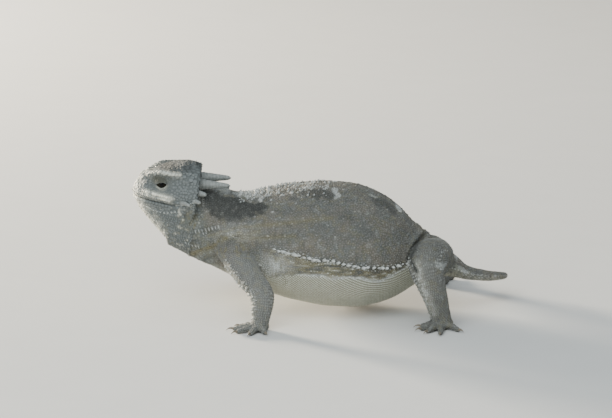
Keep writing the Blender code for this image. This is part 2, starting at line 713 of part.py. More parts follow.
def make_tail():
    """The tail in three lengths."""
    rings = []
    rows = along(TAIL_STATIONS, TAIL_RINGS)
    for i, row in enumerate(rows):
        ahead = Vector(rows[min(i + 1, len(rows) - 1)][:3]) - Vector(rows[max(i - 1, 0)][:3])
        if i < 3:
            ahead = Vector((1, 0, 0))
        ahead.normalize()
        across = Vector((0, 0, 1)).cross(ahead).normalized()
        over = ahead.cross(across)
        centre = Vector(row[:3])
        rings.append(
            [
                centre
                + across * (row[3] * math.sin(2 * math.pi * k / TAIL_SIDES))
                + over * (row[4] * math.cos(2 * math.pi * k / TAIL_SIDES))
                for k in range(TAIL_SIDES)
            ]
        )
    whole = loft("tail", rings, last=TAIL_TIP)
    base, middle, end = twin(whole, "tail_base"), twin(whole, "tail_middle"), twin(whole, "tail_end")
    remove(whole)
    backward = Vector((1, 0, 0))
    slant = Vector(TAIL_END_CUT_WAY).normalized()
    middle_point = Vector((TAIL_MIDDLE_CUT_X, 0, 0))
    end_point = Vector((TAIL_END_CUT_X, TAIL_END_CUT_Y, 0))
    keep_side(base, Vector((TAIL_CUT_X + GAP / 2, 0, 0)), backward)
    keep_side(base, middle_point - backward * GAP / 2, -backward)
    keep_side(middle, middle_point + backward * GAP / 2, backward)
    keep_side(middle, end_point - slant * GAP / 2, -slant)
    keep_side(end, end_point + slant * GAP / 2, slant)
    return base, middle, end


def make_foot(name, ankle, size, heading, toes, side):
    """A palm with its toes and claws, flat where it stands, and the room that the leg above leaves it."""
    centre = Vector((ankle[0], side * ankle[1], size[2] * 0.62))
    foot = ball(name, centre, size, 13, 8)
    room = ball(name + "_room", centre, [half + GAP * 1.4 for half in size], 16, 10)
    pieces = []
    for angle, length in toes:
        turn = math.radians(heading + angle)
        ahead = Vector((-math.cos(turn), side * math.sin(turn), 0.0))
        root = centre.copy()
        root.z = TOE_AXIS_Z + 0.2
        start_point = root + ahead * 1.0
        knuckle = root + ahead * (min(size[:2]) * 0.8 + length * 0.35)
        knuckle.z = TOE_AXIS_Z + 0.35
        tip = root + ahead * (min(size[:2]) * 0.8 + length)
        tip.z = TOE_TIP_RADIUS * 0.8
        radii = (TOE_RADIUS, TOE_RADIUS, TOE_TIP_RADIUS)
        pieces.append(tube("toe", (start_point, knuckle, tip), radii, 5, 7, last=tip + ahead * 0.5))
        claw = ahead * 1.0 + Vector((0, 0, -0.16))
        pieces.append(spike(tip + ahead * 0.1 + Vector((0, 0, 0.1)), claw, CLAW_LENGTH, CLAW_RADIUS, 6, 0.2))
    combine(foot, pieces, "UNION")
    keep_side(foot, Vector((0, 0, 0)), Vector((0, 0, 1)))
    return foot, room


def make_leg(names, axis, radii, joint, side, trunk, room):
    """Upper and lower leg, parted at the elbow or knee, with their ends fitted to trunk and foot."""
    points = [Vector((x, side * y, z)) for x, y, z in axis]
    whole = tube("leg", points, radii, LEG_RINGS)
    before, after = points[joint] - points[joint - 1], points[joint + 1] - points[joint]
    bend = (before.normalized() + after.normalized()).normalized()
    upper, lower = twin(whole, names[0]), twin(whole, names[1])
    remove(whole)
    keep_side(upper, points[joint] - bend * GAP / 2, -bend)
    keep_side(lower, points[joint] + bend * GAP / 2, bend)
    combine(upper, [inflated(trunk, GAP * 1.1)], "DIFFERENCE")
    combine(lower, [room], "DIFFERENCE")
    return upper, lower


def make_horn(name, root, direction, length, root_radius, tip_radius, side, head, neck):
    """A blunt tapered horn standing on the rim of the head."""
    start_point = Vector((root[0], side * root[1], root[2]))
    ahead = Vector((direction[0], side * direction[1], direction[2])).normalized()
    droop = Vector((0, 0, -HORN_DROOP))
    axis = (start_point, start_point + ahead * length * 0.55, start_point + ahead * length * 0.94 + droop)
    radii = (root_radius, (root_radius + tip_radius) * 0.56, tip_radius)
    horn = tube(name, axis, radii, 6, 9, last=axis[2] + ahead * length * 0.06)
    combine(horn, [inflated(head, GAP * 1.1), inflated(neck, GAP * 1.1)], "DIFFERENCE")
    return horn


def settle(parts, root):
    """Moves the model so that the middle of its outline's box is at the origin."""
    corners = np.array([vert.co for obj in parts for vert in obj.data.vertices])
    low, high = corners.min(axis=0), corners.max(axis=0)
    root.location = (-(low[0] + high[0]) / 2, -(low[1] + high[1]) / 2, -low[2])


def main():
    """Builds every sub-part and gives it its finish."""
    start()
    skin = finish("back skin", (0.22, 0.18, 0.14))
    scales = finish("head scales", (0.24, 0.23, 0.21))
    horn_finish = finish("horn", (0.42, 0.37, 0.30), 0.55)
    eye_finish = finish("eye", (0.02, 0.015, 0.01), 0.12)
    parts = []

    def keep(obj, material):
        obj.data.materials.clear()
        obj.data.materials.append(material)
        parts.append(obj)

    head = make_head()
    point, normal = plane_at(HEAD_CUT_X, HEAD_CUT_Z, HEAD_CUT_LEAN, -GAP / 2)
    keep_side(head, point, -normal)
    trunk = make_trunk()
    neck, torso = twin(trunk, "neck"), twin(trunk, "torso")
    trim_neck(neck)
    trim_torso(torso)
    plain_head = twin(head, "plain_head")
    plain_neck = twin(neck, "plain_neck")
    cut_features(head)
    arm_head(head)
    arm_neck(neck)
    arm_torso(torso)
    keep(head, scales)
    keep(neck, skin)
    keep(torso, skin)
    for side, word in SIDES:
        eye = ball("eye_" + word, (EYE_X, side * EYE_Y, EYE_Z), (EYE_RADIUS,) * 3, EYE_AROUND, EYE_RINGS)
        keep(eye, eye_finish)
        for name, *sizes in HORNS:
            keep(make_horn(name + "_" + word, *sizes, side, plain_head, plain_neck), horn_finish)
    remove(plain_head)
    remove(plain_neck)
    for piece in arm_tail(*make_tail()):
        keep(piece, skin)
    for side, word in SIDES:
        fore = FORELEG_LEFT if side == NEAR else FORELEG_RIGHT
        hind = HINDLEG_LEFT if side == NEAR else HINDLEG_RIGHT
        hand, hand_room = make_foot("hand_" + word, fore[-1], HAND_SIZE, HAND_HEADING, HAND_TOES, side)
        foot, foot_room = make_foot("foot_" + word, hind[-1], FOOT_SIZE, FOOT_HEADING, FOOT_TOES, side)
        radii = HINDLEG_RADII if side == NEAR else HINDLEG_RADII_RIGHT
        arm_names, leg_names = ("upper_arm_" + word, "forearm_" + word), ("thigh_" + word, "shank_" + word)
        arm = make_leg(arm_names, fore, FORELEG_RADII, FORELEG_JOINT, side, trunk, hand_room)
        leg = make_leg(leg_names, hind, radii, HINDLEG_JOINT, side, trunk, foot_room)
        fore_axis = [Vector((x, side * y, z)) for x, y, z in fore]
        hind_axis = [Vector((x, side * y, z)) for x, y, z in hind]
        draw = random.Random(15 + side)
        arm_leg(arm[0], fore_axis, (-1, side * 0.35, -0.35), 5, 1.35, 2.70, draw)
        arm_leg(arm[1], fore_axis, (-1, side * 0.6, 0), 3, 3.25, 4.40, draw)
        arm_leg(leg[0], hind_axis, (-1, 0, -0.25), 4, 1.60, 2.65, draw)
        arm_leg(leg[1], hind_axis, (-1, side * 0.4, 0), 4, 3.30, 4.45, draw)
        for piece in (*arm, hand, *leg, foot):
            keep(piece, skin)
    remove(trunk)
    root = bpy.data.objects.new("lizard_origin", None)
    collection.objects.link(root)
    settle(parts, root)
    for obj in parts:
        obj.parent = root
        obj.data.shade_smooth()


main()
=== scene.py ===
import math
from itertools import product

import bpy
import numpy as np
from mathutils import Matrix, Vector, noise
from mathutils.bvhtree import BVHTree
from mathutils.kdtree import KDTree


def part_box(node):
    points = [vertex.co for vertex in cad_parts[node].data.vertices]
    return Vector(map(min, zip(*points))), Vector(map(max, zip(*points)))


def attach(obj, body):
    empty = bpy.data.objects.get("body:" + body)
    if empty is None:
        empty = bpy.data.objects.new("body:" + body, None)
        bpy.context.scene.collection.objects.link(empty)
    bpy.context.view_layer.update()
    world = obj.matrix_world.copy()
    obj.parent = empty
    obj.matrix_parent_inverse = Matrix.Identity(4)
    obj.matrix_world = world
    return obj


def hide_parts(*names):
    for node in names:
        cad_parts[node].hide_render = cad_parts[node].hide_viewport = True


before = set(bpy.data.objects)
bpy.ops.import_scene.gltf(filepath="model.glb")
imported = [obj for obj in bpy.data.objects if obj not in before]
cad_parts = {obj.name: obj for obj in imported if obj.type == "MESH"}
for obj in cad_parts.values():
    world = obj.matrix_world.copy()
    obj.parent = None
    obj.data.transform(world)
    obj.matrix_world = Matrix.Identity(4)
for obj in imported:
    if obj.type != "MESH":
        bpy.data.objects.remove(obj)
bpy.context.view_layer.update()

# Shapes are given in millimetres from the floor, with the snout towards -x and the left side towards -y.
# The left eye of the frame says where that drawing stands.
mm = 0.001
eyePlace = {"x": -37.1, "y": 6.0, "z": 35.5, "radius": 1.75}
eyeLow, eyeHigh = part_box("eye_left")
shift = np.array((eyeLow + eyeHigh) / 2) - np.array((eyePlace["x"], -eyePlace["y"], eyePlace["z"])) * mm
sides = ((-1, "left"), (1, "right"))

camera = {"lens": 261.3, "distance": 1.20, "elevation": 12.0, "aim": (1.6, 0.0, 27.3), "nearSide": 25.0}
sideCos = math.cos(math.radians(camera["elevation"]))
sideSin = math.sin(math.radians(camera["elevation"]))
fullTurn = 2 * math.pi
upward = (0.0, 0.0, 1.0)


def placed(points):
    return np.asarray(points, float) * mm + shift


def drawn(points):
    return (np.asarray(points, float) - shift) / mm


def eyeCentre(side):
    return np.array((eyePlace["x"], side * eyePlace["y"], eyePlace["z"]))


def pickOnly(*objects):
    bpy.ops.object.select_all(action="DESELECT")
    for obj in objects[::-1]:
        obj.select_set(True)
        bpy.context.view_layer.objects.active = obj


def ball(segments, rings, radius=1.0, place=(0, 0, 0)):
    pickOnly()
    bpy.ops.mesh.primitive_uv_sphere_add(segments=segments, ring_count=rings, radius=radius, location=place)
    return bpy.context.active_object


def editAll(operation, **settings):
    # one operation on the whole mesh of the active object
    bpy.ops.object.mode_set(mode="EDIT")
    bpy.ops.mesh.select_all(action="SELECT")
    operation(**settings)
    bpy.ops.object.mode_set(mode="OBJECT")


def joined(objects):
    pickOnly(*objects)
    bpy.ops.object.join()
    return objects[0]


def shape(obj, name, kind, **settings):
    # a modifier that is applied at once
    modifier = obj.modifiers.new(name, kind)
    for key, value in settings.items():
        setattr(modifier, key, value)
    bpy.ops.object.modifier_apply(modifier=name)


def threesOf(items, key, kind=float):
    values = np.empty(len(items) * 3, kind)
    items.foreach_get(key, values)
    return values.reshape(-1, 3)


def pointsOf(obj):
    return threesOf(obj.data.vertices, "co")


def setPoints(obj, points):
    obj.data.vertices.foreach_set("co", np.asarray(points, float).ravel())
    obj.data.update()


def unit(vectors):
    vectors = np.asarray(vectors, float)
    return vectors / np.maximum(np.linalg.norm(vectors, axis=-1, keepdims=True), 1e-9)


def smoothStep(low, high, values):
    t = np.clip((np.asarray(values, float) - low) / (high - low), 0.0, 1.0)
    return t * t * (3 - 2 * t)


def bell(distance, width):
    # 1 at no distance, falling away on both sides
    return np.exp(-((distance / width) ** 2))


def spun(count):
    return np.linspace(0, fullTurn, count, endpoint=False)


def smoothRows(table, count):
    # rows of a table read at even places on a smooth curve through them
    rows = np.array(table, float)
    last = len(rows) - 1
    place = np.linspace(0.0, last, count)
    i = np.minimum(place.astype(int), last - 1)
    t = (place - i).reshape((-1,) + (1,) * (rows.ndim - 1))
    start, end = rows[i], rows[i + 1]
    slopeIn = (end - rows[np.maximum(i - 1, 0)]) * 0.5
    slopeOut = (rows[np.minimum(i + 2, last)] - start) * 0.5
    return (
        start * (2 * t**3 - 3 * t**2 + 1)
        + slopeIn * (t**3 - 2 * t**2 + t)
        + end * (3 * t**2 - 2 * t**3)
        + slopeOut * (t**3 - t**2)
    )


def evenRows(line, pitch, start=None, table=None):
    # rows of a table, or the line's own points, at even steps along a line
    table = line if table is None else table
    length = np.concatenate([[0], np.cumsum(np.linalg.norm(np.diff(line, axis=0), axis=1))])
    steps = np.arange(pitch / 2 if start is None else start, length[-1], pitch)
    return np.stack([np.interp(steps, length, column) for column in table.T], axis=1)


print("frame loaded")

# Shape of the body, the same drawing as the frame's solids

trunk = {
    "stations": (  # x, top, bottom, half width, height of the widest line
        (-36, 33.6, 17.6, 8, 25.4), (-32.5, 34, 16, 8.6, 24.8), (-29, 34.2, 14.2, 9.4, 24),
        (-25, 33.8, 12.4, 10.6, 23), (-21, 33, 10.4, 12.6, 22), (-17, 31.7, 8.5, 15.2, 21),
        (-12, 31.9, 6.3, 18.2, 19.8), (-6, 33.2, 4.3, 20.9, 18.6), (0, 33.9, 2.7, 22.6, 17.6),
        (6, 34.4, 1.7, 23.4, 16.9), (12, 34.1, 1.2, 23.3, 16.3), (18, 32.9, 1.5, 22, 15.7),
        (23, 30.6, 2.8, 19.6, 15.4), (27, 27.4, 4.6, 16.8, 15.4), (31, 23.4, 6.9, 13.4, 15.2),
        (35, 20, 8.4, 10.3, 14.6), (38, 17.9, 8.9, 8.2, 13.7), (41, 15.4, 8.9, 5.9, 12.4),
        (44, 12.9, 8.6, 4.2, 11),
    ),
    "backPower": 2.25,
    "bellyPower": 2.05,
    "rings": 90,
    "around": 72,
}
trunkCurve = smoothRows(trunk["stations"], 400)


def trunkPoints(x, angle):
    # points of the trunk at angles from the middle of the back, positive towards the right side
    x, angle = np.broadcast_arrays(np.asarray(x, float), np.asarray(angle, float))
    top, bottom, halfWidth, widest = (np.interp(x, trunkCurve[:, 0], column) for column in trunkCurve.T[1:])
    side, height = np.sin(angle), np.cos(angle)
    isUpper = height >= 0
    power = np.where(isUpper, trunk["backPower"], trunk["bellyPower"])
    side, height = (np.sign(share) * np.abs(share) ** (2 / power) for share in (side, height))
    reach = np.where(isUpper, top - widest, widest - bottom)
    return np.stack([x, halfWidth * side, widest + reach * height], axis=-1)


headLines = (  # half width and height of each line of the head at the stations, from crown to throat
    ((0, 34.6), (0, 36.5), (0, 38.1), (0, 39.2), (0, 40), (0, 40.5), (0, 39.6), (0, 38)),
    ((1, 34.4), (2, 36.3), (3, 37.9), (4.3, 38.9), (5.2, 39.6), (5.8, 40), (6, 39), (5.6, 37.4)),
    ((1.8, 34), (3.1, 35.9), (4.8, 37.8), (7.3, 38.6), (8.9, 38.6), (9.8, 38.2), (9.8, 37.2), (8.6, 36)),
    ((2.2, 33.6), (3.9, 34.8), (5.6, 35.8), (7.2, 36), (8.7, 36.2), (10.4, 36), (10.8, 35.2), (9.4, 34)),
    ((2.4, 33.1), (4.6, 33.6), (6.7, 33.8), (8.5, 33.7), (9.9, 33.4), (11.4, 33), (11.6, 32.4), (10, 31.4)),
    ((2.4, 32.4), (4.7, 32.3), (7, 32.1), (8.7, 31.9), (9.9, 31.4), (11.1, 30.8), (11.2, 30), (9.8, 29)),
    ((2, 31.8), (4.3, 30.9), (6.6, 30), (8.4, 29.2), (9.6, 28.2), (10.4, 27), (10.4, 26), (9.6, 25)),
    ((1.3, 31.5), (3.2, 29.6), (5.4, 27.4), (7.2, 25.4), (8.5, 23.2), (9.3, 21.5), (9.6, 20.4), (9.6, 19)),
    ((0.6, 31.2), (1.6, 28.8), (3.2, 25.7), (4.7, 22.5), (5.9, 19.2), (6.5, 16.9), (6.9, 15.4), (7.2, 14)),
    ((0, 31.1), (0, 28.5), (0, 25.1), (0, 21.6), (0, 18), (0, 15.5), (0, 13.8), (0, 12.4)),
)
head = {
    "stations": (-44.9, -43.6, -41.2, -38, -34.4, -30.6, -26.8, -23.5),
    "lines": headLines,
    "snout": (-45.4, 0, 32.8),
    "rings": 46,
    "around": 64,
    "notch": {"centre": (-25.2, 0, 38.6), "size": (3, 3.7, 4.6), "share": 1.05},
    "rearPlane": {"x": -28.35, "z": 26, "lean": 0.158},
    "mouth": {
        "front": 32.1, "corner": 30.2, "cornerX": -32.8,
        "depth": 0.45, "halfHeight": 0.24, "bend": 1.1, "sweep": 88,
    },
    "brow": ((-43, 40.8), (-41.6, 41.8), (-38.7, 42), (-35.8, 41.5), (-34.6, 41.2), (-32.1, 41)),
    "underEye": ((-41.4, 36.6), (-38.8, 35.8), (-36.4, 35.2), (-34.8, 34.7)),
    "chin": ((-44.6, 34.4), (-43.2, 32.4), (-41.6, 30.2), (-39.6, 27.8), (-37.8, 25.8)),
    "nostril": {"place": (-43.4, 2.6, 36.2), "radius": 0.42, "depth": 0.45},
    "ear": {"place": (-30.2, 27.2), "size": (0.75, 1.25), "depth": 0.7},
    "socket": {"radius": 1.45, "ball": 1.5, "depth": 0.2, "reach": 4},
}

tail = {
    "stations": (  # x, y, z, half width, half height
        (36, 0, 13.4, 8.6, 5), (39.6, 0, 12.3, 6.2, 3.6), (42.4, 0.1, 10.9, 4.4, 2.5),
        (45.4, 0.6, 9.6, 3.3, 1.85), (48.8, 1.7, 8.7, 2.6, 1.55), (52, 3.9, 7.9, 2.1, 1.35),
        (54.4, 7.3, 7.1, 1.7, 1.15), (55.6, 11.2, 6.3, 1.25, 0.95), (55.8, 15, 5.7, 0.85, 0.7),
        (55.2, 18.4, 5.3, 0.45, 0.42),
    ),
    "tip": (54.8, 19.9, 5.2),
    "rings": 60,
    "around": 28,
}

legs = {
    "foreleg_left": {
        "axis": (
            (-19.4, 8, 20.4), (-17.2, 14.4, 17.4), (-13.6, 20.4, 13.2),
            (-10, 24.6, 9.4), (-10, 26.2, 5.6), (-10.8, 26.6, 0.9),
        ),
        "radii": (4.4, 4, 3.6, 3.1, 2.7, 2.1),
    },
    "foreleg_right": {
        "axis": (
            (-19.4, 8, 20.4), (-17, 14.6, 17.2), (-13, 20.6, 13),
            (-9, 24.8, 9.6), (-8.6, 26.2, 5.8), (-9, 26.6, 0.9),
        ),
        "radii": (4.4, 4, 3.6, 3.1, 2.7, 2.1),
    },
    "hindleg_left": {
        "axis": (
            (36.4, 5, 15.2), (35.3, 12.4, 16.4), (34.5, 18.8, 17.1),
            (33.6, 24.6, 16.3), (35.6, 25.6, 10.1), (38, 23.7, 1.1),
        ),
        "radii": (5.2, 5.5, 5.4, 4.7, 3.5, 2.5),
    },
    "hindleg_right": {
        "axis": (
            (35.8, 5, 14.2), (34.8, 12.4, 12.3), (34.2, 19.6, 10.9),
            (34.6, 26.2, 9.8), (36.6, 28.4, 6), (38.6, 28.6, 1.1),
        ),
        "radii": (4.9, 4.9, 4.6, 4, 3.2, 2.5),
    },
}
legMesh = {
    "rings": 44, "around": 26, "toeRings": 20, "toeAround": 14,
    "footRings": 14, "footAround": 24, "footPole": 0.12, "footRise": 0.62,
}
feet = {
    "foreleg": {
        "size": (2.7, 2.5, 1.75),
        "heading": 38,
        "toes": ((-62, 3.6), (-30, 4.9), (0, 5.5), (32, 5), (68, 3.9)),
    },
    "hindleg": {
        "size": (2.9, 3.4, 1.95),
        "heading": 66,
        "toes": ((-60, 3.6), (-32, 4.8), (-8, 5.8), (18, 6.6), (62, 4.4)),
    },
}
toe = {
    "radius": 0.95,
    "tipRadius": 0.66,
    "axisZ": 0.74,
    "joints": (  # share of the length, height over the axis, share of the radius
        (0.18, 0.34, 0.92), (0.38, 0.36, 1.02), (0.62, 0.12, 0.82), (0.8, 0.02, 0.86),
    ),
    "root": (1.0, 0.2),  # distance from the palm's middle, height over the axis
    "palmShare": 0.8,
    "endShare": 0.9,
    "tip": 0.45,
    "clawLength": 1.7,
    "clawRadius": 0.42,
    "hook": 0.42,
}

# Where each part's own unwrap lies on the sheet that the coat's patches use: left, bottom, width, height.
sheetPlaces = {
    "trunk": (0, 0, 0.55, 1),
    "head": (0.56, 0.56, 0.26, 0.44),
    "tail": (0.83, 0.72, 0.17, 0.28),
}
sheetPlaces.update({name: (0.56, 0.14 * k, 0.26, 0.13) for k, name in enumerate(legs)})
sheetPlaces.update({name + "_foot": (0.83, 0.18 * k, 0.17, 0.17) for k, name in enumerate(legs)})
partNames = list(sheetPlaces)
footParts = np.array([name.endswith("_foot") for name in partNames])
guides = {"points": [], "lie": [], "part": [], "sheet": []}


def isPart(part, name):
    return part == partNames.index(name)


def drawnOut(name, part, rings, start, end, sheet=(0.0, 0.0, 1.0, 1.0)):
    # a sphere primitive drawn out over rings of points, its poles at the two ends
    count, around = rings.shape[:2]
    body = ball(around, count + 1)
    body.name = name
    points = pointsOf(body)
    row = np.rint(np.arccos(np.clip(points[:, 2], -1, 1)) * (count + 1) / math.pi).astype(int)
    column = np.rint(np.arctan2(points[:, 1], points[:, 0]) * around / fullTurn).astype(int) % around
    ends = [np.tile(np.asarray(point, float), (1, around, 1)) for point in (start, end)]
    grid = np.concatenate([ends[0], rings, ends[1]])
    setPoints(body, placed(grid[row, column]))
    editAll(bpy.ops.mesh.normals_make_consistent, inside=False)
    u, v = np.meshgrid(np.linspace(0, 1, count), np.linspace(0, 1, around), indexing="ij")
    left, bottom, width, height = sheetPlaces[part]
    flat = np.stack([sheet[0] + sheet[2] * u, sheet[1] + sheet[3] * v], axis=-1).reshape(-1, 2)
    guides["points"].append(rings.reshape(-1, 3))
    guides["lie"].append(unit(np.gradient(rings, axis=0)).reshape(-1, 3))
    guides["part"].append(np.full(count * around, partNames.index(part)))
    guides["sheet"].append(flat * (width, height) + (left, bottom))
    return body


def tubeRings(axis, radii, count, around):
    # rings across a smooth axis
    rows = smoothRows([(*point, radius) for point, radius in zip(axis, radii)], count)
    ahead = unit(np.gradient(rows[:, :3], axis=0))
    across = np.cross(ahead[0], upward)
    turn = spun(around)[:, None]
    rings = []
    for row, way in zip(rows, ahead):
        across = unit(across - way * across.dot(way))
        over = np.cross(way, across)
        rings.append(row[:3] + row[3] * (across * np.sin(turn) + over * np.cos(turn)))
    return np.array(rings)


def modelTrunk():
    x = np.linspace(trunk["stations"][0][0], trunk["stations"][-1][0], trunk["rings"])
    rings = trunkPoints(x[:, None], spun(trunk["around"])[None, :])
    return drawnOut("trunk", "trunk", rings, rings[0].mean(axis=0), rings[-1].mean(axis=0))


def modelHead():
    half = np.array(head["lines"], float)
    fine = 8  # steps between two lines of the head
    stations = []
    for k, x in enumerate(head["stations"]):
        right = [(x, y, z) for y, z in half[:, k]]
        left = [(x, -y, z) for y, z in half[-2:0:-1, k]]
        loop = np.array(right + left)
        closed = np.concatenate([loop[-1:], loop, loop[:2]])
        stations.append(smoothRows(closed, 1 + (len(closed) - 1) * fine)[fine : -fine - 1])
    pick = np.linspace(0, len(stations[0]), head["around"], endpoint=False).astype(int)
    rings = smoothRows(np.array(stations)[:, pick], head["rings"])
    plane = head["rearPlane"]  # the head ends where the nape begins
    rings[:, :, 0] = np.minimum(rings[:, :, 0], plane["x"] + plane["lean"] * (rings[:, :, 2] - plane["z"]))
    return drawnOut("head", "head", rings, head["snout"], rings[-1].mean(axis=0))


def modelTail():
    rows = smoothRows(tail["stations"], tail["rings"])
    ahead = unit(np.gradient(rows[:, :3], axis=0))
    across = unit(np.cross(upward, ahead))
    over = np.cross(ahead, across)
    turn = spun(tail["around"])[None, :, None]
    wide = across[:, None] * rows[:, None, 3:4] * np.sin(turn)
    high = over[:, None] * rows[:, None, 4:5] * np.cos(turn)
    return drawnOut("tail", "tail", rows[:, None, :3] + wide + high, rows[0, :3], tail["tip"])


clawPlaces = {}


def modelLeg(name, leg):
    side = -1 if name.endswith("left") else 1
    leg["axis"] = [(x, side * y, z) for x, y, z in leg["axis"]]
    axis = leg["axis"]
    rings = tubeRings(axis, leg["radii"], legMesh["rings"], legMesh["around"])
    bodies = [drawnOut(name, name, rings, axis[0], axis[-1])]
    foot = feet[name.split("_")[0]]
    part = name + "_foot"
    centre = np.array((axis[-1][0], axis[-1][1], foot["size"][2] * legMesh["footRise"]))
    rise = np.linspace(legMesh["footPole"], math.pi - legMesh["footPole"], legMesh["footRings"])[:, None]
    turn = spun(legMesh["footAround"])[None, :]
    palm = [np.sin(rise) * np.cos(turn), np.sin(rise) * np.sin(turn), np.cos(rise) + 0 * turn]
    palm = np.stack(palm, axis=-1) * foot["size"]
    half = np.array((0, 0, foot["size"][2]))
    bodies.append(drawnOut(part, part, centre + palm, centre + half, centre - half, (0.0, 0.0, 0.4, 1.0)))
    guides["lie"][-1][:] = (-0.7, side * 0.7, 0.0)
    clawPlaces[part] = []
    for k, (angle, length) in enumerate(foot["toes"]):
        bearing = math.radians(foot["heading"] + angle)
        ahead = np.array((-math.cos(bearing), side * math.sin(bearing), 0.0))
        reach = min(foot["size"][:2]) * toe["palmShare"]
        stops = [(toe["root"][0], toe["axisZ"] + toe["root"][1], toe["radius"])]
        for share, lift, thick in toe["joints"]:
            stops.append((reach + length * share, toe["axisZ"] + lift, toe["radius"] * thick))
        stops.append((reach + length, toe["tipRadius"] * toe["endShare"], toe["tipRadius"]))
        spine = [centre * (1, 1, 0) + ahead * distance + (0, 0, z) for distance, z, _ in stops]
        radii = [radius for _, _, radius in stops]
        rings = tubeRings(spine, radii, legMesh["toeRings"], legMesh["toeAround"])
        tip = spine[-1] + ahead * toe["tip"]
        bodies.append(drawnOut(part + "_toe", part, rings, spine[0], tip, (0.42, 0.2 * k, 0.58, 0.18)))
        clawPlaces[part].append((spine[-1], ahead))
    return bodies


# The one skin over all of it

skinWork = {
    "voxel": 0.4,
    "smoothing": 3,
    "inset": 0.2,
    "footInset": 0.1,
    "sole": 0.04,
    "wobble": 0.16,
    "waves": ((0.17, 1.0), (0.4, 0.5)),  # how close the waves of the surface are, and their share
    "welt": 0.35,
    "ridgeFrom": 1.5,
    "lips": {"off": 3.2, "width": 1.6, "height": 0.16},
    "ridges": (  # line of the head, how far below it, width, height
        ("brow", 0, 0.55, 0.36),
        ("brow", 1.5, 0.8, -0.34),
        ("underEye", 0.3, 0.9, 0.62),
    ),
    "folds": (  # places in side view (x, height as the photo's camera sees it), width, depth
        (((-11.7, 27.5), (-7, 27.7), (-1, 28.4), (8.4, 29.5)), 0.55, 0.26),
        (((-18.5, 23.4), (-16.2, 24), (-8, 24.3), (-1.4, 24.6)), 0.6, 0.34),
        (((-28.1, 19.7), (-22.9, 21.5), (-19.3, 23.2), (-14.9, 24.9), (-11, 25.8)), 0.7, 0.45),
        (((-29.4, 27.8), (-28.6, 28.8), (-28, 30.2)), 0.45, 0.35),
        (((-24.6, 24.6), (-21, 25.6), (-16.4, 27), (-11, 27.2)), 0.45, 0.2),
        (((-25, 18.6), (-20, 20.6), (-17.5, 21.6)), 0.6, 0.3),
        (((34.4, 25.7), (33.2, 24.5), (30.9, 22), (29.6, 19.6), (29.3, 18.4), (30.9, 15.4)), 0.6, 1),
        (((-9, 20.4), (-5.6, 16.6), (-3.8, 12.4)), 0.8, 0.4),
    ),
}


def sideHeight(points):
    # the height at which a side view from the camera's elevation shows a point, alike on both sides
    return points[:, 2] * sideCos + (camera["nearSide"] - np.abs(points[:, 1])) * sideSin


def lineDistance(x, height, line):
    # distance in side view from a line of points
    best = np.full(len(x), 1e9)
    for (ax, ah), (bx, bh) in zip(line, line[1:]):
        dx, dh = bx - ax, bh - ah
        t = np.clip(((x - ax) * dx + (height - ah) * dh) / (dx * dx + dh * dh), 0, 1)
        best = np.minimum(best, np.hypot(x - ax - t * dx, height - ah - t * dh))
    return best


def mouthHeight(x, y):
    # height of the line of the mouth where a ray from between its corners passes
    mouth = head["mouth"]
    turn = np.arctan2(np.abs(y), mouth["cornerX"] - x)
    share = np.clip(turn / math.radians(mouth["sweep"]), 0, 1) ** mouth["bend"]
    return mouth["front"] + (mouth["corner"] - mouth["front"]) * share


def earHole(points):
    # 0 in the middle of the ear and 1 at its rim
    ear = head["ear"]
    x, z = ((points[:, axis] - ear["place"][k]) / ear["size"][k] for k, axis in enumerate((0, 2)))
    return x**2 + z**2


def nearTree(points):
    tree = KDTree(len(points))
    for i, point in enumerate(points):
        tree.insert(point, i)
    tree.balance()
    return tree


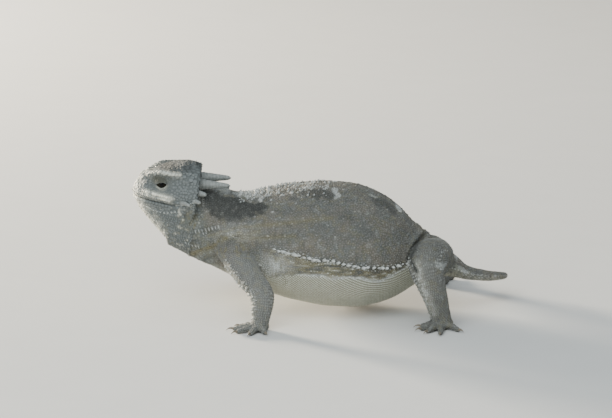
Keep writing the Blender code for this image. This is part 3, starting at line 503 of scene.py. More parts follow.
def sculptSkin(skin):
    points, normals = drawn(pointsOf(skin)), threesOf(skin.data.vertices, "normal")
    # each point takes its lie, part and place on the sheet from the nearest drawn ring point
    tree = nearTree(guides["points"])
    nearest = np.array([tree.find(point)[1] for point in points])
    lie, part, sheet = (guides[key][nearest] for key in ("lie", "part", "sheet"))
    isFoot, isHead = footParts[part], isPart(part, "head")

    def push(amount, where=True):
        points[:] = points + normals * (np.where(where, 1.0, 0.0) * amount)[:, None]

    points -= normals * np.where(isFoot, skinWork["footInset"], skinWork["inset"])[:, None]
    waves = skinWork["waves"]
    sway = [sum(share * noise.noise(Vector(point) * close) for close, share in waves) for point in points]
    push(np.array(sway) * skinWork["wobble"], ~isFoot)
    height = sideHeight(points)
    for line, width, depth in skinWork["folds"]:
        away = lineDistance(points[:, 0], height, line)
        welt = skinWork["welt"] * depth * bell(away - width * 2.0, width)
        push(welt - depth * bell(away, width), isPart(part, "trunk") | isHead)
    mouth, lips = head["mouth"], skinWork["lips"]
    gap = np.abs(points[:, 2] - mouthHeight(points[:, 0], points[:, 1])) / mouth["halfHeight"]
    inMouth = isHead & (points[:, 0] < mouth["cornerX"] + 0.4)
    push(lips["height"] * bell(gap - lips["off"], lips["width"]) - mouth["depth"] * bell(gap, 1.0), inMouth)
    push(-head["ear"]["depth"] * bell(earHole(points), 1.0), isHead)
    notch = head["notch"]
    away = (points - np.array(notch["centre"])) / np.array(notch["size"])
    inside = (np.linalg.norm(away, axis=1) < notch["share"]) & isHead
    pushed = np.array(notch["centre"]) + unit(away) * notch["share"] * np.array(notch["size"])
    points[inside] = pushed[inside]
    isSide = isHead & (np.abs(points[:, 1]) > skinWork["ridgeFrom"])
    for line, drop, width, lift in skinWork["ridges"]:
        push(lift * bell(lineDistance(points[:, 0], height + drop, head[line]), width), isSide)
    socket, nostril = head["socket"], head["nostril"]
    for side, _ in sides:
        centre = eyeCentre(side)
        away = points - centre
        ring = np.hypot(away[:, 0], away[:, 2])
        outer = side * away[:, 1]
        floorDepth = np.sqrt(np.maximum(socket["ball"] ** 2 - ring**2, 0)) - socket["depth"]
        under = (ring < socket["radius"]) & (outer > 0) & (outer < socket["reach"])
        points[under, 1] = centre[1] + side * np.minimum(outer, floorDepth)[under]
        near = np.linalg.norm(points - np.array(nostril["place"]) * (1, side, 1), axis=1)
        push(-nostril["depth"] * bell(near, nostril["radius"] * 1.3))
    points[:, 2] = np.maximum(points[:, 2], skinWork["sole"])
    setPoints(skin, placed(points))
    return lie, part, sheet


def modelSkin():
    bodies = [modelTrunk(), modelHead(), modelTail()]
    for name, leg in legs.items():
        bodies += modelLeg(name, leg)
    print("body parts are drawn")
    for key in guides:
        guides[key] = np.concatenate(guides[key])
    skin = joined(bodies)
    skin.name = "skin"
    shape(skin, "oneSkin", "REMESH", mode="VOXEL", voxel_size=skinWork["voxel"] * mm, use_smooth_shade=True)
    shape(skin, "settle", "SMOOTH", factor=0.5, iterations=skinWork["smoothing"])
    return skin, sculptSkin(skin)


skin, skinGuide = modelSkin()
skin.data.calc_loop_triangles()
print("skin is one surface with", len(skin.data.loop_triangles), "triangles")

fleshNodes = ["head", "neck", "torso", "tail_base", "tail_middle", "tail_end"]
for limb in ("upper_arm", "forearm", "hand", "thigh", "shank", "foot"):
    fleshNodes += [f"{limb}_{word}" for _, word in sides]
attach(skin, "root")
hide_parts(*fleshNodes)


# Markings, with painted shade and painted highlight among them, in side view millimetres, alike on both sides

marks = {
    "fringe": (
        (-7.6, 21.6), (-6.2, 20.9), (-1.4, 19.8), (3.9, 18.3), (8.4, 18.1),
        (12.9, 16.7), (18.8, 16.1), (24.1, 16.2), (28.6, 17.4), (30.2, 18.4),
    ),
    "lowLine": (
        (-9, 13.4), (-3, 14.3), (5.3, 14), (8.9, 13.3), (12.9, 13.7), (16.9, 13.2),
        (21, 12.4), (23.2, 13.3), (25.9, 14.7), (28.6, 16.2), (30.2, 17.4),
    ),
    "blotches": (  # middle x, middle height, half length, half height, slant, strength
        (4.6, 36.1, 3.4, 1.5, 0, 0.7), (8.2, 35.5, 1.7, 1.3, 0, 0.55),
        (21.4, 33.8, 2.4, 1.3, -0.42, 0.62), (24.6, 32, 1.5, 1.2, -0.5, 0.6),
        (12.2, 29.4, 1.9, 1.2, 0, 0.42), (17, 26.2, 2.2, 1.2, -0.3, 0.26),
        (22.8, 24.6, 2.2, 1, 0.2, 0.26), (4, 25.4, 2.6, 1, 0.1, 0.16),
        (27.4, 26, 1.6, 2.2, -0.5, 0.24), (-2.4, 31.2, 2.6, 0.8, 0.1, 0.18),
        (-24.4, 26.3, 3.2, 1, 0.15, 0.55), (-29.6, 23.4, 2.6, 0.9, -0.2, 0.5),
        (12, 27.4, 12, 4, -0.05, 0.16),
    ),
    "neckBand": ((-28.8, 19.9), (-25.6, 21), (-22.9, 22.4), (-20, 24.2), (-16, 25.4)),
    "edges": (  # pale rear edges of the blotches and other pale places
        (9.3, 36.9, 0.8, 0.7, 0.3, 0.62), (10.1, 35.8, 0.9, 0.6, -0.5, 0.62),
        (9.6, 35, 0.7, 0.5, 0.4, 0.5), (2.4, 37.6, 2.2, 0.35, 0.1, 0.34),
        (19.8, 35.3, 1.2, 0.3, -0.4, 0.34), (26.2, 32.6, 0.6, 0.7, 0.3, 0.62),
        (26.8, 31.6, 0.6, 0.6, 0, 0.6), (-14.4, 35.9, 4.4, 0.9, -0.15, 0.3),
        (-21.4, 37.6, 3.4, 1.3, -0.25, 0.36), (37.3, 17, 1.6, 1, 0, 0.36),
        (42, 19.4, 0.7, 0.9, -1, 0.34), (44.4, 15.2, 1.7, 0.7, -0.45, 0.45),
    ),
    "clouds": {  # soft patches: middle x, middle height, half length, half height
        "cheek": (-28.6, 28.5, 3.4, 2.6),
        "neck": (-20.5, 21.4, 6.5, 2.4),
        "foreNeck": (-17.5, 25.4, 6, 2.6),
        "axilla": (-6.6, 16.6, 4.2, 3),
    },
    "legEdgeHighlights": (  # the leading edges of the legs, painted pale as a painted highlight where light catches them, partly their own pale spiny scales
        ((-20.1, 16.8), (-17.1, 12.3), (-13.4, 8.5), (-12.9, 3)),
        ((31.2, 17.2), (31.6, 14.2), (32.9, 11), (34.2, 7.2), (35.3, 4.4)),
    ),
    "underTail": ((38, 10.6), (42.4, 10.7), (45.4, 10), (48.8, 9.2), (52, 8.4), (56, 6.6)),
    "napeUpper": (
        (-26.2, 37.1), (-22.9, 36.3), (-20.5, 35.2), (-16.4, 34.9),
        (-14.6, 33.8), (-12, 33.2), (-10.2, 33.8), (-7.6, 32),
    ),
    "napeLower": (
        (-25.7, 34.6), (-25.2, 33), (-23.6, 30.3), (-21.3, 28), (-16.9, 28.4),
        (-13.5, 29), (-10.5, 30.2), (-7.6, 31.4),
    ),
    "napeEnds": (-26.1, -8),
    "shoulder": 18.5,
}
toneNames = ("head", "belly", "olive", "dark", "pale", "leg")


def between(x, line):
    line = np.array(line)
    return np.interp(x, line[:, 0], line[:, 1])


def markings(points, part):
    # how much of each tone a place has, from 0 to 1
    x, height, z = points[:, 0], sideHeight(points), points[:, 2]

    def mottle(size, stretch=(1.0, 1.0, 1.0)):
        return np.array([noise.noise(Vector(row)) for row in points * np.array(stretch) / size])

    def along(line, width, drop=0.0):
        return bell(lineDistance(x, height + drop, line), width)

    def cloud(name):
        cx, ch, rx, rh = marks["clouds"][name]
        return bell(np.hypot((x - cx) / rx, (height - ch) / rh), 1.0)

    def blot(cx, ch, rx, rh, slant, strength):
        wobble = 0.20 * np.sin(x * 2.1 + height * 1.3) + 0.16 * np.sin(x * 3.7 - height * 2.9)
        distance = np.hypot((x - cx) / rx, (height - ch - slant * (x - cx)) / rh) + wobble
        return strength * (1 - smoothStep(0.7, 1.3, distance))

    def falling(low, high, values):
        return 1 - smoothStep(low, high, values)

    ripple, fine = mottle(1.8), mottle(0.6)
    patch, speck = mottle(3.2), mottle(1.1)
    grainLong, grainUp = mottle(0.8, (0.22, 0.6, 1.6)), mottle(0.8, (1.2, 0.5, 0.25))
    isHead, isTail = isPart(part, "head"), isPart(part, "tail")
    isBody = isPart(part, "trunk") | isHead
    isLeg = ~isBody & ~isTail
    shoulder = isLeg & (x < 0) & (height > marks["shoulder"])
    fringe, lowLine = between(x, marks["fringe"]), between(x, marks["lowLine"])
    onFlank = np.where(isBody, smoothStep(-10.5, -6.5, x) * falling(30.5, 32.0, x), 0)
    band = onFlank * smoothStep(-0.2, 0.2, height - lowLine) * falling(-0.3, 0.3, height - fringe + 0.3)
    wavy = height - lowLine + 0.25 * ripple
    spots = smoothStep(0.05, 0.40, speck + 0.5 * patch)
    headTone = np.where(isHead, 1.0, np.where(isBody, falling(-28.0, -24.5, x + 0.25 * (height - 32)), 0))
    headTone = np.maximum(headTone, np.where(isBody, 0.35 * smoothStep(0.0, 0.4, patch), 0))

    throat = falling(13.0, 18.0, height + 1.5 * ripple)
    belly = np.where(isBody, falling(-0.25, 0.25, wavy) * onFlank + 0.8 * throat * (1 - onFlank), 0)
    underTail = falling(-0.5, 0.5, z - between(x, marks["underTail"]) + 0.5 * ripple)
    belly = np.where(isTail, 0.28 * underTail, belly)

    olive = band * np.clip(0.55 + 1.3 * grainLong, 0, 1)
    for line, width, _ in skinWork["folds"][:5]:
        olive = np.maximum(olive, np.where(isBody, 0.5 * along(line, width * 1.1), 0))
    neckBand = 0.85 * along(marks["neckBand"], 0.8) * np.clip(0.8 + 0.8 * speck, 0.3, 1)
    olive = np.maximum(olive, np.where(isBody | shoulder, neckBand, 0))
    soft = np.maximum(0.8 * cloud("cheek"), 0.9 * cloud("neck")) * (0.25 + 0.75 * spots)
    olive = np.maximum(olive, np.where(isBody, soft, 0))
    # the upper lid under the brow ridge: an olive-brown tone, and further down it is darkened as painted
    # shadow of the brow
    lidTop = isHead * bell(np.hypot((x - eyePlace["x"] + 0.8) / 2.2, z - eyePlace["z"] - 1.35), 1.0)
    olive = np.maximum(olive, np.where(isHead, 0.55 * lidTop, 0))
    olive = np.maximum(olive, np.where(isHead, 0.0, np.where(shoulder, 0.55, 0.28)) * spots)

    upper, lower = between(x, marks["napeUpper"]), between(x, marks["napeLower"])
    front, rear = marks["napeEnds"]
    dark = falling(-0.25, 0.25, height - upper + 0.4 * ripple)
    dark = dark * smoothStep(-1.4, 1.4, height - lower + 2.0 * ripple)
    dark = dark * smoothStep(-0.3, 0.3, x - front) * falling(-2.0, 1.2, x - rear + 2 * ripple)
    dark = dark * np.clip(0.92 + 0.4 * speck, 0, 1)
    for place in marks["blotches"]:
        dark = np.maximum(dark, blot(*place))
    # painted shade: the crown above the brow ridge is darkened, most on its front slope, as if it lay in
    # shade
    crown = smoothStep(-0.4, 1.6, height - between(x, head["brow"])) * falling(-30.0, -27.0, x)
    dark = np.where(isHead, (0.62 + 0.34 * falling(-36.0, -31.5, x)) * crown, dark)
    streaks = np.where(height > 29, smoothStep(0.05, 0.5, grainLong), smoothStep(0.05, 0.5, grainUp))
    dark = np.maximum(dark, np.where(isHead, 0.10, 0.30) * streaks * (1 - belly))
    dark = np.maximum(dark, band * 0.55 * smoothStep(0.1, 0.45, -grainLong))
    offMouth = z - mouthHeight(x, points[:, 1])
    # painted shade: a dark line along the groove of the mouth and a softer darker band round the lips
    mouthLineShade = 0.35 * bell(offMouth, 0.28) * falling(-33.4, -32.4, x)
    lips = 0.30 * bell(offMouth, 1.0) * falling(-34.5, -32.4, x)
    # shaded gathers the painted shade of the mouth and the painted shadow under the brow on the upper lid
    shaded = np.maximum(np.maximum(mouthLineShade, lips), 0.68 * lidTop)
    dark = np.where(isBody, np.maximum(dark, np.where(isHead, shaded, 0)), 0.35 * streaks)
    # painted shadow: a dark line where the thigh meets the flank, with no pale in it
    hipCreaseShadow = along(skinWork["folds"][6][0], 0.60) * (z < 26) * (np.abs(points[:, 1]) > 8)
    # painted shadow: a dark line just under the fringe spines
    fringeShadow = onFlank * smoothStep(-4.0, 4.0, x) * bell(height - fringe + 0.2, 0.45)

    pale = np.maximum(0.0, onFlank * smoothStep(-3.0, 1.0, x) * (0.95 + 0.4 * fine) * bell(wavy, 0.44))
    for place in marks["edges"]:
        pale = np.maximum(pale, blot(*place))
    pale = np.maximum(pale, band * 0.60 * smoothStep(0.15, 0.5, grainLong))
    pale = np.maximum(pale, np.where(isBody, (0.62 + 0.5 * grainUp) * cloud("axilla"), 0))
    # partly painted highlight: pale and olive along the lit leading edges of the legs
    for line in marks["legEdgeHighlights"]:
        edge = np.where(isLeg, along(line, 1.0), 0)
        pale = np.maximum(pale, 0.46 * edge * np.clip(0.8 + 1.0 * speck, 0, 1.2))
        olive = np.maximum(olive, 0.45 * edge)
    pale = np.maximum(pale, np.where(isLeg & (x < 0) & (height < 20), 0.09, 0))
    pale = np.maximum(pale, np.where(isBody, (0.20 + 0.3 * grainLong) * cloud("foreNeck"), 0))
    broken = np.clip(0.85 + 1.1 * speck + 0.6 * fine, 0.2, 1.1)
    # pale face marks, partly painted highlight: the ridge under the eye, the brow ridge, the chin's edge and
    # the snout's front are painted paler as if lit, over their own paler scales
    face = np.maximum(0.95 * along(head["underEye"], 0.85, 0.25) * broken, 0.50 * along(head["brow"], 0.5))
    face = np.maximum(face, 0.88 * along(head["chin"], 1.8) * broken)
    face = np.maximum(face, 0.42 * falling(-44.4, -41.0, x))
    away = np.hypot(x - eyePlace["x"], z - eyePlace["z"])
    face = np.maximum(face, np.where(z < eyePlace["z"], 0.5 * bell(away - 1.15, 0.40), 0))
    face = np.maximum(face, smoothStep(0.25, 0.5, speck) * (height < 33) * 0.35)
    pale = np.maximum(pale, np.where(isHead, face, 0))
    bright = np.where(isHead, 0.0, 0.12) * smoothStep(0.25, 0.5, -speck) * (1 - dark)
    return {
        "head": headTone,
        "belly": belly,
        "olive": olive,
        "dark": np.maximum(dark, np.maximum(hipCreaseShadow, 0.65 * fringeShadow)),
        "pale": np.clip(np.maximum(pale, bright) * (1 - hipCreaseShadow), 0, 1),
        "leg": np.where(isLeg, np.where(shoulder, 0.55, 0.8) + 0.3 * ripple, 0),
    }


def giveLayer(mesh, name, values):
    layer = mesh.attributes.new(name, "FLOAT", "POINT")
    layer.data.foreach_set("value", np.asarray(values, np.float32))


def giveTones(obj, tones):
    for name in toneNames:
        giveLayer(obj.data, name + "Tone", tones[name])


skinPoints = drawn(pointsOf(skin))
giveTones(skin, markings(skinPoints, skinGuide[1]))
print("markings are on the skin")


# Scales: a few small shapes, each modelled once and copied over the skin

def moulded(obj):
    # a small mesh's points and the corners of its triangles. The mesh itself isn't kept
    editAll(bpy.ops.mesh.quads_convert_to_tris)
    points, corners = pointsOf(obj), threesOf(obj.data.polygons, "vertices", int)
    bpy.data.objects.remove(obj, do_unlink=True)
    return points, corners


def scaleShape(segments, rings, tipRise, tipReach, crest, squareness=0.0):
    # a small sphere pressed into a scale: x is its lie, z stands off the skin, its tip is at +x
    points, corners = moulded(ball(segments, rings))
    ahead = np.clip(points[:, 0], 0, 1)
    edge = np.hypot(points[:, 0], points[:, 1])
    points[:, :2] *= (1 + squareness * np.abs(points[:, 0] * points[:, 1]) * 2)[:, None]
    points[:, 0] += tipReach * ahead**3
    points[:, 1] *= 1 - 0.35 * ahead * (tipReach > 0)
    points[:, 2] += tipRise * ahead**2
    points[:, 0] += crest * (1 - edge) * (points[:, 2] > 0)
    return points, corners


def spineShape(count, bend, waist=0.42, swell=1.28):
    # a cone drawn back towards its tip
    pickOnly()
    bpy.ops.mesh.primitive_cone_add(vertices=count, radius1=1.0, radius2=0.0, depth=1.0, location=(0, 0, 0.5))
    bpy.ops.object.transform_apply(location=True, rotation=False, scale=False)
    editAll(bpy.ops.mesh.bisect, plane_co=(0, 0, waist), plane_no=(0, 0, 1))
    points, corners = moulded(bpy.context.active_object)
    points[np.abs(points[:, 2] - waist) < 0.01, :2] *= swell
    points[:, 0] += bend * points[:, 2] ** 2
    return points, corners


shapes = {
    "grain": scaleShape(6, 2, 0.10, 0.0, 0.10),
    "keeled": scaleShape(6, 2, 0.45, 0.45, 0.35),
    "plate": scaleShape(7, 4, 0.10, 0.0, 0.05, 0.3),
    "spine": spineShape(6, 0.35),
}


class Roots:
    # places on the skin where scales grow
    def __init__(self, points, normals, lie, part, sheet, spacing):
        self.points, self.normals, self.lie = points, unit(normals), lie
        self.part, self.sheet, self.spacing = part, sheet, spacing

    def only(self, keep):
        return Roots(*[column[keep] for column in vars(self).values()])


skin.data.calc_loop_triangles()
skinTriangles = threesOf(skin.data.loop_triangles, "vertices", int)
skinNormals = threesOf(skin.data.vertices, "normal")
skinSurface = BVHTree.FromPolygons(skinPoints.tolist(), skinTriangles.tolist())


def castAt(start, way):
    # where a ray meets the skin, or None
    return skinSurface.ray_cast(Vector(start), Vector(way))[0]


def scatter(spacing, seed, tries=7.0):
    # evenly spaced random places, spacing being each skin point's own, 0 for none
    draw = np.random.default_rng(seed)
    corner = skinPoints[skinTriangles]
    area = 0.5 * np.linalg.norm(np.cross(corner[:, 1] - corner[:, 0], corner[:, 2] - corner[:, 0]), axis=1)
    local = spacing[skinTriangles]
    mean = np.where(local.min(axis=1) > 0, local.mean(axis=1), 0)
    counts = draw.poisson(np.where(mean > 0, area * tries / np.maximum(mean, 0.05) ** 2, 0))
    which = np.repeat(np.arange(len(counts)), counts)
    draw.shuffle(which)
    a, b = draw.random(len(which)), draw.random(len(which))
    flip = a + b > 1
    a[flip], b[flip] = 1 - a[flip], 1 - b[flip]
    weight = np.stack([1 - a - b, a, b], axis=1)
    rows = skinTriangles[which]
    places = (skinPoints[rows] * weight[:, :, None]).sum(axis=1)
    room = (spacing[rows] * weight).sum(axis=1)
    keys = np.floor(places / float(room.max())).astype(int).tolist()
    cells, kept = {}, []
    for i, (place, key, need) in enumerate(zip(places.tolist(), keys, room.tolist())):
        near = product(*[(k - 1, k, k + 1) for k in key])
        if not any(math.dist(place, other) < need for cell in near if cell in cells for other in cells[cell]):
            cells.setdefault(tuple(key), []).append(place)
            kept.append(i)
    rows, weight = rows[kept], weight[kept][:, :, None]
    lie, part, sheet = skinGuide
    lead = rows[:, 0]
    spread = (sheet[rows] * weight).sum(axis=1)
    torn = np.ptp(sheet[rows], axis=1).max(axis=1) > 0.05  # over a seam of the sheet
    spread[torn] = sheet[lead][torn]
    normals = (skinNormals[rows] * weight).sum(axis=1)
    return Roots(places[kept], normals, lie[lead], part[lead], spread, room[kept])


def rootsAt(points, spacing=0.6):
    # roots on the skin nearest to given places
    hits = [skinSurface.find_nearest(Vector(point)) for point in points]
    triangles = skinTriangles[[hit[2] for hit in hits]]
    lie, part, sheet = (column[triangles[:, 0]] for column in skinGuide)
    places = np.array([hit[0] for hit in hits])
    return Roots(places, skinNormals[triangles].mean(axis=1), lie, part, sheet, np.full(len(places), spacing))


def stamp(shapeName, roots, size, lean=0.12, seed=1, vary=0.14, sink=0.0, ways=None):
    # copies of a shape. size is half length, half width and height, as shares of the spacing
    unitPoints, unitFaces = shapes[shapeName]
    draw = np.random.default_rng(seed)
    count, each = len(roots.points), len(unitPoints)
    share = roots.spacing * (1 + vary * draw.uniform(-1, 1, count))
    normal = roots.normals
    ahead = roots.lie if ways is None else ways
    ahead = unit(ahead - normal * (ahead * normal).sum(axis=1, keepdims=True))
    ahead = unit(ahead + np.cross(normal, ahead) * draw.normal(0, 0.10, count)[:, None])
    tilt = (lean + 0.06 * draw.uniform(-1, 1, count))[:, None]
    along = ahead * np.cos(tilt) + normal * np.sin(tilt)
    up = normal * np.cos(tilt) - ahead * np.sin(tilt)
    base = roots.points - normal * (sink * roots.spacing)[:, None]
    local = unitPoints[None, :, :] * (share[:, None] * np.array(size)[None, :])[:, None, :]
    points = base[:, None, :]
    for axis, way in enumerate((along, np.cross(up, along), up)):
        points = points + local[:, :, axis : axis + 1] * way[:, None, :]
    points = points.reshape(-1, 3)
    points[:, 2] = np.maximum(points[:, 2], 0.0)
    layers = {key + "Tone": np.repeat(tone, each) for key, tone in markings(roots.points, roots.part).items()}
    layers["shade"] = np.repeat(draw.random(count), each)
    layers["rise"] = np.tile(smoothStep(-0.1, 1.0, unitPoints[:, 2] * 0.7 + unitPoints[:, 0] * 0.35), count)
    patch = (unitPoints[unitFaces.ravel(), :2] / 2.6) * 0.003  # a small patch of the sheet for each copy
    return {
        "points": points,
        "faces": (unitFaces[None] + (np.arange(count) * each)[:, None, None]).reshape(-1, 3),
        "uv": np.repeat(roots.sheet, unitFaces.size, axis=0) + np.tile(patch, (count, 1)),
        "layers": layers,
    }


def buildCoat(name, stamps, finish="scales"):
    # one joined mesh of all that is stamped
    points = np.concatenate([placed(part["points"]) for part in stamps])
    offsets = np.cumsum([0] + [len(part["points"]) for part in stamps[:-1]])
    faces = np.concatenate([part["faces"] + offset for part, offset in zip(stamps, offsets)])
    mesh = bpy.data.meshes.new(name)
    mesh.vertices.add(len(points))
    mesh.vertices.foreach_set("co", points.astype(np.float32).ravel())
    mesh.loops.add(faces.size)
    mesh.loops.foreach_set("vertex_index", faces.astype(np.int32).ravel())
    mesh.polygons.add(len(faces))
    mesh.polygons.foreach_set("loop_start", np.arange(0, faces.size, 3, dtype=np.int32))
    mesh.update(calc_edges=True)
    mesh.polygons.foreach_set("use_smooth", np.ones(len(faces), bool))
    sheet = mesh.uv_layers.new(name="OFBake")
    uv = np.clip(np.concatenate([part["uv"] for part in stamps]), 0.001, 0.999)
    sheet.data.foreach_set("uv", uv.astype(np.float32).ravel())
    for key in stamps[0]["layers"]:
        giveLayer(mesh, key, np.concatenate([part["layers"][key] for part in stamps]))
    mesh.update()
    piece = bpy.data.objects.new(name, mesh)
    bpy.context.scene.collection.objects.link(piece)
    piece.data.materials.append(finishes[finish])
    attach(piece, "root")
    print(name, "has", len(faces), "triangles")


# Materials

class Signal:
    # a node's output, with the sums that are used written as plain expressions
    def __init__(self, shop, socket):
        self.shop, self.socket = shop, socket

    def __add__(self, other):
        return self.shop.sum("ADD", self, other)

    def __radd__(self, other):
        return self.shop.sum("ADD", other, self)

    def __rsub__(self, other):
        return self.shop.sum("SUBTRACT", other, self)

    def __mul__(self, other):
        return self.shop.sum("MULTIPLY", self, other)

    def __rmul__(self, other):
        return self.shop.sum("MULTIPLY", other, self)


class Shop:
    # one material and its nodes
    def __init__(self, name):
        self.material = bpy.data.materials.new(name)
        self.material.use_nodes = True
        self.tree = self.material.node_tree
        self.shader = self.tree.nodes["Principled BSDF"]
        self.objectPlace = self.node("TexCoord", output="Object")

    def node(self, kind, settings=None, sockets=None, output=0):
        made = self.tree.nodes.new("ShaderNode" + kind)
        for key, value in (settings or {}).items():
            setattr(made, key, value)
        for key, value in (sockets or {}).items():
            self.feed(made.inputs[key], value)
        return Signal(self, made.outputs[output])

    def feed(self, socket, value):
        if isinstance(value, Signal):
            self.tree.links.new(value.socket, socket)
        else:
            socket.default_value = value

    def sum(self, operation, first, second=0.0):
        return self.node("Math", {"operation": operation}, {0: first, 1: second})

    def layer(self, name):
        return self.node("Attribute", {"attribute_name": name}, output="Fac")

    def noise(self, scale, detail=3.0):
        sockets = {"Vector": self.objectPlace, "Scale": scale, "Detail": detail, "Roughness": 0.6}
        return self.node("TexNoise", None, sockets, output="Fac")

    def cells(self, scale):
        sockets = {"Vector": self.objectPlace, "Scale": scale}
        return self.node("TexVoronoi", {"feature": "F1"}, sockets, output="Distance")

    def ramp(self, value, low, high):
        sockets = {"Value": value, "From Min": low, "From Max": high, "To Min": 0.0, "To Max": 1.0}
        return self.node("MapRange", {"interpolation_type": "SMOOTHSTEP"}, sockets)

    def blend(self, amount, first, second, mode="MIX"):
        # Mix has its colour sockets at places 6 and 7 and its colour result at 2
        first, second = (tone if isinstance(tone, Signal) else (*tone, 1.0) for tone in (first, second))
        settings = {"data_type": "RGBA", "blend_type": mode}
        return self.node("Mix", settings, {0: amount, 6: first, 7: second}, output=2)

    def bump(self, height, strength, distance):
        sockets = {"Height": height, "Strength": strength, "Distance": distance}
        return self.node("Bump", None, sockets, output="Normal")

    def finish(self, **sockets):
        names = {
            "colour": "Base Color", "roughness": "Roughness", "normal": "Normal",
            "specular": "Specular IOR Level", "coat": "Coat Weight", "coatRoughness": "Coat Roughness",
        }
        for key, value in sockets.items():
            self.feed(self.shader.inputs[names[key]], value)
        return self.material


palette = {
    "back": (0.158, 0.160, 0.152),
    "backWarm": (0.200, 0.184, 0.160),
    "head": (0.168, 0.184, 0.186),
    "belly": (0.680, 0.690, 0.610),
    "olive": (0.260, 0.228, 0.122),
    "dark": (0.058, 0.060, 0.058),
    "pale": (0.700, 0.730, 0.725),
    "facePaleAndSunlit": (0.920, 0.900, 0.780),
    "leg": (0.192, 0.193, 0.182),
    "gapSkinAndShade": (0.40, 0.40, 0.37),
    "bellyGapSkinAndShade": (0.45, 0.43, 0.36),
    "scaleShade": (0.68, 0.66, 0.64),
    "spineShade": (0.70, 0.66, 0.58),
}


def markedColour(shop):
    # the animal's colours, with some painted shade and painted highlight among them, laid over one another as
    # the layers on the mesh say
    grain = shop.noise(900.0, 4.0)
    patches = shop.noise(170.0, 3.0)
    colour = shop.blend(shop.ramp(patches, 0.35, 0.70), palette["back"], palette["backWarm"])
    colour = shop.blend(shop.layer("legTone"), colour, palette["leg"])
    colour = shop.blend(shop.layer("headTone"), colour, palette["head"])
    colour = shop.blend(shop.layer("oliveTone") * (0.7 + 0.3 * grain), colour, palette["olive"])
    colour = shop.blend(shop.layer("bellyTone"), colour, palette["belly"])
    colour = shop.blend(shop.layer("darkTone") * (0.78 + 0.3 * patches), colour, palette["dark"])
    # on the head the pale is a warm cream, partly painted sunlit highlight
    light = shop.blend(shop.layer("headTone"), palette["pale"], palette["facePaleAndSunlit"])
    return shop.blend(shop.layer("paleTone") * (0.72 + 0.4 * grain), colour, light), grain


def skinFinish():
    shop = Shop("livingSkin")
    colour, grain = markedColour(shop)
    cells = shop.cells(2200.0)
    # the skin that shows between the scales is painted darker: partly its own darker tone, partly painted
    # shade in the gaps, strongest under the belly scales
    colour = shop.blend(0.45 + 0.3 * cells, colour, palette["gapSkinAndShade"], "MULTIPLY")
    colour = shop.blend(shop.layer("bellyTone") * 0.75, colour, palette["bellyGapSkinAndShade"], "MULTIPLY")
    normal = shop.bump(cells, 0.5, 0.0002)
    return shop.finish(colour=colour, roughness=0.72 + 0.18 * grain, normal=normal, specular=0.3)


def scaleFinish(name, gap, footShadeColour):
    # gap says how much darker a scale is painted at its foot: painted shade where the scales overlap and meet
    # the skin
    shop = Shop(name)
    colour, grain = markedColour(shop)
    colour = shop.blend(0.32 * shop.layer("shade"), colour, palette["scaleShade"], "MULTIPLY")
    # painted shade: each scale darkens towards its foot
    colour = shop.blend((1 - shop.layer("rise")) * gap, colour, footShadeColour, "MULTIPLY")
    normal = shop.bump(shop.noise(5200.0, 2.0), 0.25, 0.0001)
    return shop.finish(colour=colour, roughness=0.60 + 0.25 * grain, normal=normal, specular=0.28)


def spineFinish(name, root, tip):
    # root and tip say how pale a spine is at its two ends
    shop = Shop(name)
    colour, grain = markedColour(shop)
    colour = shop.blend(root + (tip - root) * shop.layer("rise"), colour, palette["pale"])
    colour = shop.blend(0.4 * shop.layer("shade"), colour, palette["spineShade"], "MULTIPLY")
    normal = shop.bump(shop.noise(4200.0, 2.0), 0.25, 0.0001)
    return shop.finish(colour=colour, roughness=0.5 + 0.25 * grain, normal=normal, specular=0.4)


finishes = {
    "skin": skinFinish(),
    # the last two values of each scale finish are the strength and colour of the painted shade at the scales'
    # feet
    "scales": scaleFinish("scales", 0.38, (0.45, 0.45, 0.42)),
    "belly": scaleFinish("bellyScales", 0.85, (0.36, 0.34, 0.26)),
    "spines": spineFinish("plainSpines", 0.0, 0.28),
    "crest": spineFinish("crestSpines", 0.05, 0.75),
    "fringe": spineFinish("fringeSpines", 0.45, 1.0),
    "limb": spineFinish("limbSpines", 0.0, 0.40),
}
skin.data.materials.clear()
skin.data.materials.append(finishes["skin"])


# The coat, region by region

coat = {
    "spacing": {
        "back": 0.54, "flank": 0.46, "belly": 0.50, "neck": 0.50, "throat": 0.56, "crown": 0.95,
        "face": 0.66, "eyeRing": 0.38, "leg": 0.56, "foot": 0.42, "tail": 0.60,
    },
    "bodyFront": -9.5,
    "neckTop": 29.0,
    "faceRear": -26.5,
    "crownDrop": 1.0,
    "throatDrop": 3.2,
    "eyeRing": (1.75, 2.9),
    "mouthGap": 1.65,
    "earGap": 0.8,
    "floorGap": 0.12,
    "belly": {"pitch": 0.40, "rowPitch": 0.84, "slant": -0.70, "ends": (-9.4, 31.0), "spacing": 0.47},
    "castFrom": 60,
    "rings": {"aside": (0.0, 0.31, 0.95), "farthest": 6.0, "steps": 300, "gaps": 0.92, "clear": 0.66},
}


